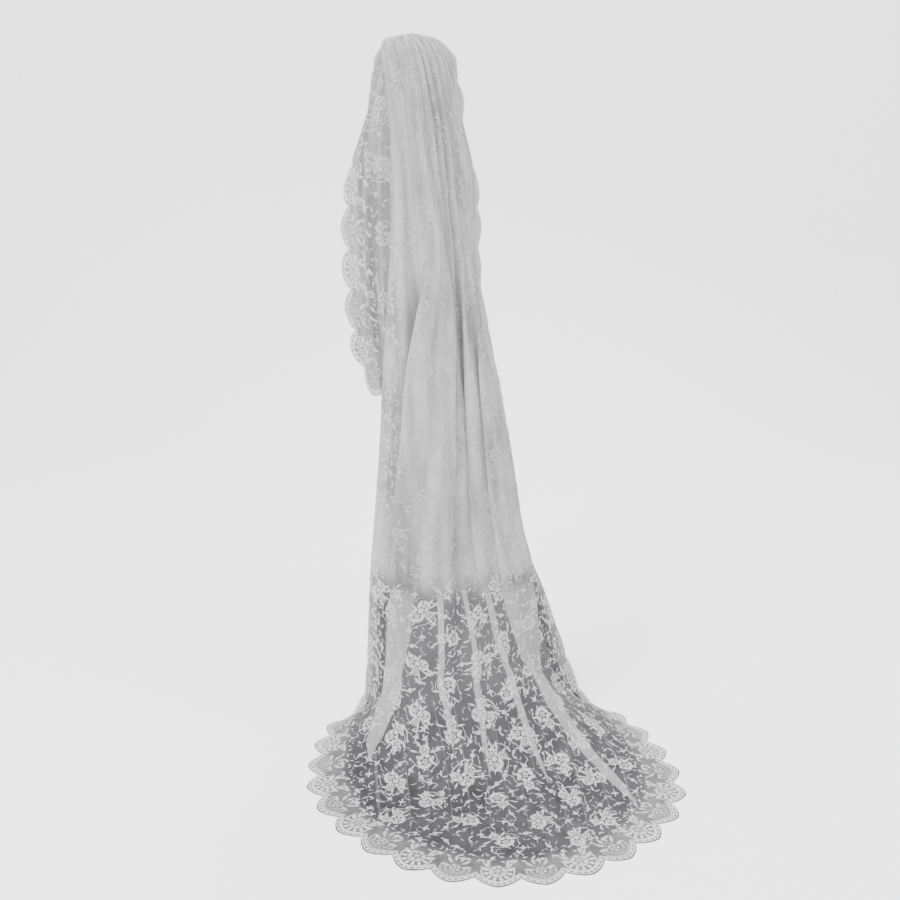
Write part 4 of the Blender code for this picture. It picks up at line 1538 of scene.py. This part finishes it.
    def net_values(
        self, places: Array, stations: Array, points: Array, tone: Array
    ) -> dict[str, Array]:
        """What the net's finish reads at each point: tone with its painted shade, nearness to pleats and
        creases, how low it is.

        Args:
            places: Places across.
            stations: Stations along.
            points: The points there.
            tone: How pale each is.

        Returns:
            The values by name.
        """
        pleat = np.full(places.shape, 3.0)
        for band in self.tier.pleats:
            pleat = np.minimum(pleat, band.share(places, stations))
        lines = rise(stations, *self.lines_start) * (1 - rise(stations, *self.lines_end))
        return {
            "tone": tone,
            "pleat": pleat,
            "crease": self.cloth.crease_index(places, stations),
            "lines": lines,
            # 1 where the net hangs low and takes the painted shade.
            "low": 1 - self.high(points),
        }

    def scallop(self, lengths: Array) -> Array:
        """How far the edge stands out: a half sine's power and some of a triangle, faded near the comb."""
        phase = (lengths / self.scallop_pitch) % 1.0
        arch = self.arch_share * np.sin(np.pi * phase) ** 0.8
        arch += (1 - self.arch_share) * (1 - np.abs(2 * phase - 1))
        fade = rise(np.minimum(lengths, self.edge.total - lengths), 0.0, self.scallop_first)
        return (-self.scallop_dip + (self.scallop_rise + self.scallop_dip) * arch) * fade

    def carried(self, places: Array, stations: Array, lifts: Array) -> Array:
        """Points on the surface, moved out by their lifts, and to the sides where the edge flares."""
        points, normals = self.cloth.at(places, stations)
        moved = points + normals * lifts[..., None]
        past = (np.abs(places) - 1) * self.cloth.value(self.cloth.width, stations) / 2
        near = np.clip(past + self.flare_depth, 0.0, None) * rise(past, -self.flare_depth, 0.0)
        below = rise(stations, self.flare_start, self.flare_full)
        moved[..., 0] += np.sign(places) * self.flare * near * below
        return moved

    def build_border_ground(self) -> bpy.types.Object:
        """The border's own net: a strip from the scalloped edge to the seam, with a painted dark shadow line
        at its edge.
        """
        lengths = np.linspace(0.0, self.edge.total, int(self.edge.total / self.ground_pitch))
        shares = np.concatenate([[0.0, self.edge_shadow_share, 1.2 * self.edge_shadow_share], np.linspace(0.07, 1.0, 12)])
        outer = -self.scallop(lengths)
        inner = self.edge.border_depth(lengths) * (1 + self.ground_overlap / self.cloth.border_depth)
        depth = outer[:, None] + (inner - outer)[:, None] * shares[None, :]
        along = np.broadcast_to(lengths[:, None], depth.shape)
        places, stations = self.edge.strip(along, depth)
        points = self.carried(places, stations, np.full(depth.shape, self.border_lift))
        dense = self.border_tone * (1 - rise(shares, 0.55, 1.0))
        tone = np.maximum(self.tone(places, stations, points), dense[None, :])
        # Painted shadow: the outermost strip of the border net is darkened to a thin dark line along the
        # edge.
        tone = np.where(shares[None, :] <= self.edge_shadow_share, self.edge_shadow_tone * tone, tone)
        piece = make_piece(
            self.tier.name + "_border_net",
            points.reshape(-1, 3),
            grid_faces(*depth.shape),
            np.stack([along, depth], axis=-1).reshape(-1, 2),
            self.net_values(places, stations, points, tone),
        )
        ride_and_replace(piece, self.net, self.tier.name + "_border")
        return piece

    def finish_lace(
        self, name: str, sketches: list[Laid], on_border: bool = False
    ) -> bpy.types.Object:
        """One piece from sketches laid on the cloth, on both faces where it hangs.

        Args:
            name: The piece's name.
            sketches: Each with its places, stations and lifts.
            on_border: Whether it lies on the border, where sketches run the other way round and are paler.

        Returns:
            The piece.
        """
        places = np.concatenate([s[1] for s in sketches])
        stations = np.concatenate([s[2] for s in sketches])
        lifts = np.concatenate([s[3] for s in sketches])
        density = np.concatenate([s[0].arrays()[2] for s in sketches])
        faces, start = [], 0
        for sketch, *_ in sketches:
            faces.append(sketch.arrays()[3] + start)
            start += sketch.count
        outer = self.carried(places, stations, lifts)
        inner = self.carried(places, stations, -lifts)
        outer_faces = np.vstack(faces) if on_border else np.vstack(faces)[:, ::-1]
        hanging = inner[outer_faces, 2].min(axis=1) > FLOOR + self.floor_room
        inner_faces = outer_faces[hanging][:, ::-1] + len(outer)
        points = np.vstack([outer, inner])
        all_faces = np.vstack([outer_faces, inner_faces])
        used = np.unique(all_faces)
        renumbered = np.zeros(len(points), dtype=int)
        renumbered[used] = np.arange(len(used))
        width = self.cloth.value(self.cloth.width, stations)
        uv = np.tile(np.stack([places * width / 2, stations], axis=-1), (2, 1))
        pale = self.tier.lace_paleness + (self.border_paler if on_border else 0.0)
        tone = self.low_lace_tone + self.high(points) * (pale - self.low_lace_tone)
        values = {"cover": np.tile(density, 2)[used], "tone": tone[used]}
        piece = make_piece(name, points[used], renumbered[all_faces], uv[used], values, smooth=False)
        ride_and_replace(piece, self.lace)
        return piece

    def spots(
        self, pitch: float, room: float, first: float, rng: np.random.Generator
    ) -> list[tuple[float, float]]:
        """Places and stations of a half-drop repeat, in metres of cloth, kept clear of the border.

        Args:
            pitch: The distance between motifs.
            room: How far a motif reaches from its middle.
            first: The first row's station.
            rng: Where the small shifts come from.

        Returns:
            The middle of each motif.
        """
        found = []
        rows = np.arange(first, self.tier.hem_end, 0.5 * pitch)
        for k, station in enumerate(rows):
            width = float(self.cloth.value(self.cloth.width, station))
            reach = width / 2 - float(self.cloth.border(station)) - room
            count = int(width / pitch) + 1
            for j in range(-count, count + 1):
                w = (j + 0.5 * (k % 2)) * pitch + self.shift_across * pitch * (rng.random() - 0.5)
                s = station + self.shift_along * pitch * (rng.random() - 0.5)
                place = 2 * w / width
                if abs(w) < reach and s < self.cloth.hem(np.array(place)) - self.cloth.border_depth - room:
                    found.append((place, s))
        return found

    def clear_of(
        self, spots: list[tuple[float, float]], middles: list[tuple[float, float]], clearance: float
    ) -> list[tuple[float, float]]:
        """The spots that lie further than the clearance from every middle, in metres of cloth."""
        kept = []
        for place, station in spots:
            width = self.cloth.value(self.cloth.width, station)
            near = min(np.hypot((place - p) * width / 2, station - s) for p, s in middles)
            if near > clearance:
                kept.append((place, station))
        return kept

    def scatter(
        self, name: str, kinds: list[Sketch], spots: list[tuple[float, float]], seed: int
    ) -> bpy.types.Object:
        """Motifs laid on the cloth at the spots, each kind in turn and each turned by its own angle.

        Args:
            name: The piece's name.
            kinds: The motifs to choose from.
            spots: Their middles.
            seed: The seed of the turns.

        Returns:
            The piece.
        """
        rng = np.random.default_rng(seed)
        laid = []
        for k, (place, station) in enumerate(spots):
            sketch = kinds[k % len(kinds)]
            points, heights, _, _ = sketch.arrays()
            angle = rng.random() * 2 * np.pi
            flat = turned(points, angle)
            change, fall = self.cloth.step(np.array(place), np.array(station), flat[:, 0], flat[:, 1])
            lifts = heights + self.lace_lift + 0.0002 * (k % 2)
            laid.append((sketch, place + change, station + fall, lifts))
        return self.finish_lace(name, laid)

    def build_lace(self) -> list[bpy.types.Object]:
        """The bouquets, and the sprigs and wisps between them."""
        rng = np.random.default_rng(self.seed)
        name, patterns = self.tier.name, self.patterns
        bouquets = [patterns.spray(*plan) for plan in patterns.bouquet_plans]
        middles = self.spots(self.bouquet_pitch, self.bouquet_room, self.bouquet_first, rng)
        sprigs = self.spots(self.sprig_pitch, self.sprig_room, self.sprig_first, rng)
        sprigs = self.clear_of(sprigs, middles, self.sprig_clearance)
        wisps = self.spots(self.wisp_pitch, self.wisp_room, self.wisp_first, rng)
        wisps = self.clear_of(wisps, middles, self.wisp_clearance)
        return [
            self.scatter(name + "_bouquets", bouquets, middles, self.seed + 1),
            self.scatter(name + "_sprigs", patterns.sprigs(), sprigs, self.seed + 2),
            self.scatter(name + "_wisps", patterns.wisps(), wisps, self.seed + 3),
        ]

    def build_border_lace(self) -> bpy.types.Object:
        """The border's lace: scallop patterns in turn, and cords and bars that run round the edge."""
        pitch = self.scallop_pitch
        full = self.cloth.border_depth
        laid = []
        kinds = {style: self.patterns.scallop(style, pitch, full) for style in Style}
        for k in range(1, int(self.edge.total / pitch)):
            sketch = kinds[Style.ROSE if k % 2 else Style.EYELETS]
            points, heights, _, _ = sketch.arrays()
            lengths = points[:, 0] + k * pitch
            depth = points[:, 1] * self.edge.border_depth(lengths) / full
            places, stations = self.edge.strip(lengths, depth)
            laid.append((sketch, places, stations, heights + self.border_lift + 0.0002))
        laid += self.edge_cords() + self.edge_bars()
        slot = self.tier.name + "_border"
        return self.finish_lace(slot + "_lace", laid, on_border=True)

    def edge_cords(self) -> list[Laid]:
        """Three cords that follow the scallops, drawn over length and depth."""
        lengths = np.arange(0.0, self.edge.total, self.cord_pitch)
        outline = -self.scallop(lengths)
        depth = self.edge.border_depth(lengths)
        share = depth / self.cloth.border_depth
        paths = (
            (outline + 0.0046, 0.0030),
            (outline + 0.0128 * share, 0.0034),
            (outline + 0.0172 * share, 0.0016),
        )
        laid = []
        for path, width in paths:
            sketch = Sketch()
            sketch.cord(np.stack([lengths, path], axis=1), width)
            points, heights, _, _ = sketch.arrays()
            places, stations = self.edge.strip(points[:, 0], points[:, 1])
            laid.append((sketch, places, stations, heights + self.border_lift + 0.0003))
        return laid

    def edge_bars(self) -> list[Laid]:
        """A row of short bars between the two outer cords, with a small gap after each."""
        sketch = Sketch()
        bar = blade(self.bar_length, self.bar_width, 1.0, 0.4, 0.0, 3)
        for length in np.arange(self.scallop_first, self.edge.total - self.scallop_first, self.bar_pitch):
            middle = self.bar_depth - float(self.scallop(np.array(length)))
            sketch.fill(turned(bar, np.pi / 2, (length, middle - self.bar_length / 2)), 0.95)
        points, heights, _, _ = sketch.arrays()
        places, stations = self.edge.strip(points[:, 0], points[:, 1])
        return [(sketch, places, stations, heights + self.border_lift + 0.0002)]

    def build(self) -> None:
        """Builds the whole tier: its net, the border's net, its lace and the border's lace."""
        net = self.build_net()
        ground = self.build_border_ground()
        lace = self.build_lace()
        trim = self.build_border_lace()


@dataclass
class Headpiece:
    """What holds the veil: the satin ribbon over the gathers, its stitches, and the comb."""

    ribbon_width: float = 0.116
    ribbon_depth: float = 0.0024
    ribbon_top: float = 0.0062
    ribbon_bottom: float = -0.0135
    stitch_pitch: float = 0.0042
    stitch_length: float = 0.0024
    thread_radius: float = 0.00022
    stitch_lift: float = 0.00002
    section_points: int = 28
    ribbon_steps: int = 161
    corner_power: float = 0.35
    pucker: float = 0.045
    stitch_rows: tuple[float, float] = (0.0036, -0.0108)

    def section(self, count: int) -> tuple[Array, Array]:
        """A rounded flat section: cosine and sine to a small power, so that the corners are full."""
        angle = np.linspace(0.0, 2 * np.pi, count, endpoint=False)
        depth = np.sign(np.cos(angle)) * np.abs(np.cos(angle)) ** self.corner_power * self.ribbon_depth / 2
        height = np.sign(np.sin(angle)) * np.abs(np.sin(angle)) ** self.corner_power
        height *= (self.ribbon_top - self.ribbon_bottom) / 2
        return depth + self.ribbon_depth / 2, height + (self.ribbon_top + self.ribbon_bottom) / 2

    def build_ribbon(self, material: bpy.types.Material) -> None:
        """The ribbon: its section carried along x, softly puckered by the stitches, closed at its ends."""
        depth, height = self.section(self.section_points)
        steps = self.ribbon_steps
        x = np.concatenate([[-1.0, -1.0], np.linspace(-0.996, 0.996, steps), [1.0, 1.0]])
        x *= self.ribbon_width / 2
        size = np.concatenate([[0.0, 0.86], np.ones(steps), [0.86, 0.0]])[:, None]
        pucker = 1 - self.pucker * np.sin(2 * np.pi * x / self.stitch_pitch)[:, None] ** 2
        sway = 0.985 + 0.015 * np.cos(40 * x / self.ribbon_width)[:, None]
        centre = (self.ribbon_depth / 2, (self.ribbon_top + self.ribbon_bottom) / 2)
        y = centre[0] + (depth[None, :] - centre[0]) * size * pucker
        z = centre[1] + (height[None, :] - centre[1]) * size * sway
        points = np.stack([np.broadcast_to(x[:, None], y.shape), y, z], axis=-1)
        rows = grid_faces(len(depth), len(x), closed=True)
        piece = make_piece(
            "satin_ribbon",
            np.swapaxes(points, 0, 1).reshape(-1, 3),
            rows,
            np.swapaxes(points, 0, 1)[..., [0, 2]].reshape(-1, 2),
            {},
        )
        ride_and_replace(piece, material, "binding_ribbon")

    def build_stitches(self, material: bpy.types.Material) -> None:
        """Two rows of small stitches on the ribbon's inner face, each a short rounded bar."""
        turn = np.linspace(0.0, 2 * np.pi, 6, endpoint=False)
        along = np.array([-1.0, -0.8, 0.8, 1.0])
        thick = np.array([0.05, 1.0, 1.0, 0.05])
        x = np.broadcast_to(along[:, None] * self.stitch_length / 2, (len(along), len(turn)))
        round_thread = self.thread_radius * thick[:, None]
        bar = np.stack([x, round_thread * np.cos(turn), round_thread * np.sin(turn)], axis=-1)
        bar = np.swapaxes(bar, 0, 1).reshape(-1, 3)
        spots = np.arange(-self.ribbon_width / 2 + 0.004, self.ribbon_width / 2 - 0.003, self.stitch_pitch)
        y = self.ribbon_depth + self.stitch_lift
        places = [(x, y, z) for x in spots for z in self.stitch_rows]
        points = np.concatenate([bar + place for place in places])
        faces = grid_faces(len(turn), len(along), closed=True)
        joined = np.concatenate([faces + len(bar) * k for k in range(len(places))])
        values = {"cover": np.ones(len(points)), "tone": np.full(len(points), 0.7)}
        piece = make_piece("ribbon_stitches", points, joined, points[:, [0, 2]], values)
        ride_and_replace(piece, material)

    def dress_comb(self, material: bpy.types.Material) -> None:
        """The comb keeps its solid and takes the steel finish."""
        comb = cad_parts["comb"]
        comb.data.materials.clear()
        comb.data.materials.append(material)
        log.info("comb: solid kept")


@dataclass
class Studio:
    """The camera at the photograph's place, a pale floor and soft light."""

    eye: tuple[float, float, float] = (0.095, -2.97, -0.20)
    pitch: float = 14.947
    lens: float = 48.06
    floor_half: float = 9.0
    floor_gap: float = 0.0002
    lit_point: tuple[float, float, float] = (0.1, -0.2, -0.9)
    cove_start: float = 2.6
    cove_radius: float = 2.2
    cove_top: float = 9.0
    surround_strength: float = 2.4
    lamps: tuple[tuple[str, tuple[float, float, float], float, float], ...] = (
        ("key", (-2.4, -2.8, 2.0), 2.0, 320.0),
        ("fill", (2.8, -1.8, 1.2), 3.0, 60.0),
        ("back", (0.8, 2.4, 1.6), 2.4, 130.0),
    )

    def build_camera(self) -> None:
        """A level camera that looks along +Y and a little down."""
        data = bpy.data.cameras.new("camera")
        data.lens = self.lens
        data.sensor_width = 36.0
        data.clip_end = 60.0
        camera = bpy.data.objects.new("camera", data)
        camera.location = self.eye
        camera.rotation_euler = (np.radians(90.0 - self.pitch), 0.0, 0.0)
        bpy.context.scene.collection.objects.link(camera)
        bpy.context.scene.camera = camera

    def build_floor(self, material: bpy.types.Material) -> None:
        """A floor just under the train that turns up behind in a quarter circle, as studio paper does."""
        turn = np.linspace(0.0, np.pi / 2, 33)
        wall = self.cove_start + self.cove_radius
        y = np.concatenate([[-self.floor_half], self.cove_start + self.cove_radius * np.sin(turn), [wall]])
        z = np.concatenate([[0.0], self.cove_radius * (1 - np.cos(turn)), [self.cove_top]])
        z += FLOOR - self.floor_gap
        x = np.array([self.floor_half, -self.floor_half])
        points = np.stack(np.broadcast_arrays(x[None, :], y[:, None], z[:, None]), axis=-1)
        flat = points[..., :2].reshape(-1, 2)
        floor = make_piece("floor", points.reshape(-1, 3), grid_faces(len(y), 2), flat, {})
        floor.data.materials.append(material)

    def light(self, name: str, place: tuple[float, float, float], size: float, power: float) -> None:
        """A square soft light that faces the middle of the veil."""
        data = bpy.data.lights.new(name, "AREA")
        data.shape = "SQUARE"
        data.size = size
        data.energy = power
        lamp = bpy.data.objects.new(name, data)
        lamp.location = place
        away = np.array(place) - self.lit_point
        flat = float(np.hypot(away[0], away[1]))
        lamp.rotation_euler = (np.arctan2(flat, away[2]), 0.0, np.arctan2(away[0], -away[1]))
        bpy.context.scene.collection.objects.link(lamp)

    def build(self, floor: bpy.types.Material) -> None:
        """The camera, the floor, the lights and a white surround."""
        self.build_camera()
        self.build_floor(floor)
        for lamp in self.lamps:
            self.light(*lamp)
        world = bpy.data.worlds.new("surround")
        world.use_nodes = True
        backdrop = world.node_tree.nodes["Background"]
        backdrop.inputs["Color"].default_value = (1.0, 1.0, 1.0, 1.0)
        backdrop.inputs["Strength"].default_value = self.surround_strength
        bpy.context.scene.world = world


def main() -> None:
    """Builds the studio and dresses the veil, piece by piece."""
    logging.basicConfig(level=logging.INFO, format="%(name)s: %(message)s")
    Studio().build(FloorFinish().build("studio_floor"))
    net = NetFinish().build("lace_net")
    lace = LaceFinish().build("corded_lace")
    TierDresser(LONG_TIER, net, lace, flat_size=(0.85, 2.20), flat_area=1.42, seed=11).build()
    TierDresser(SHORT_TIER, net, lace, flat_size=(0.30, 0.80), flat_area=0.22, seed=23, flare=0.30).build()
    headpiece = Headpiece()
    headpiece.build_ribbon(SatinFinish().build("satin"))
    headpiece.build_stitches(lace)
    headpiece.dress_comb(SteelFinish().build("polished_steel"))


if __name__ == "__main__":
    main()
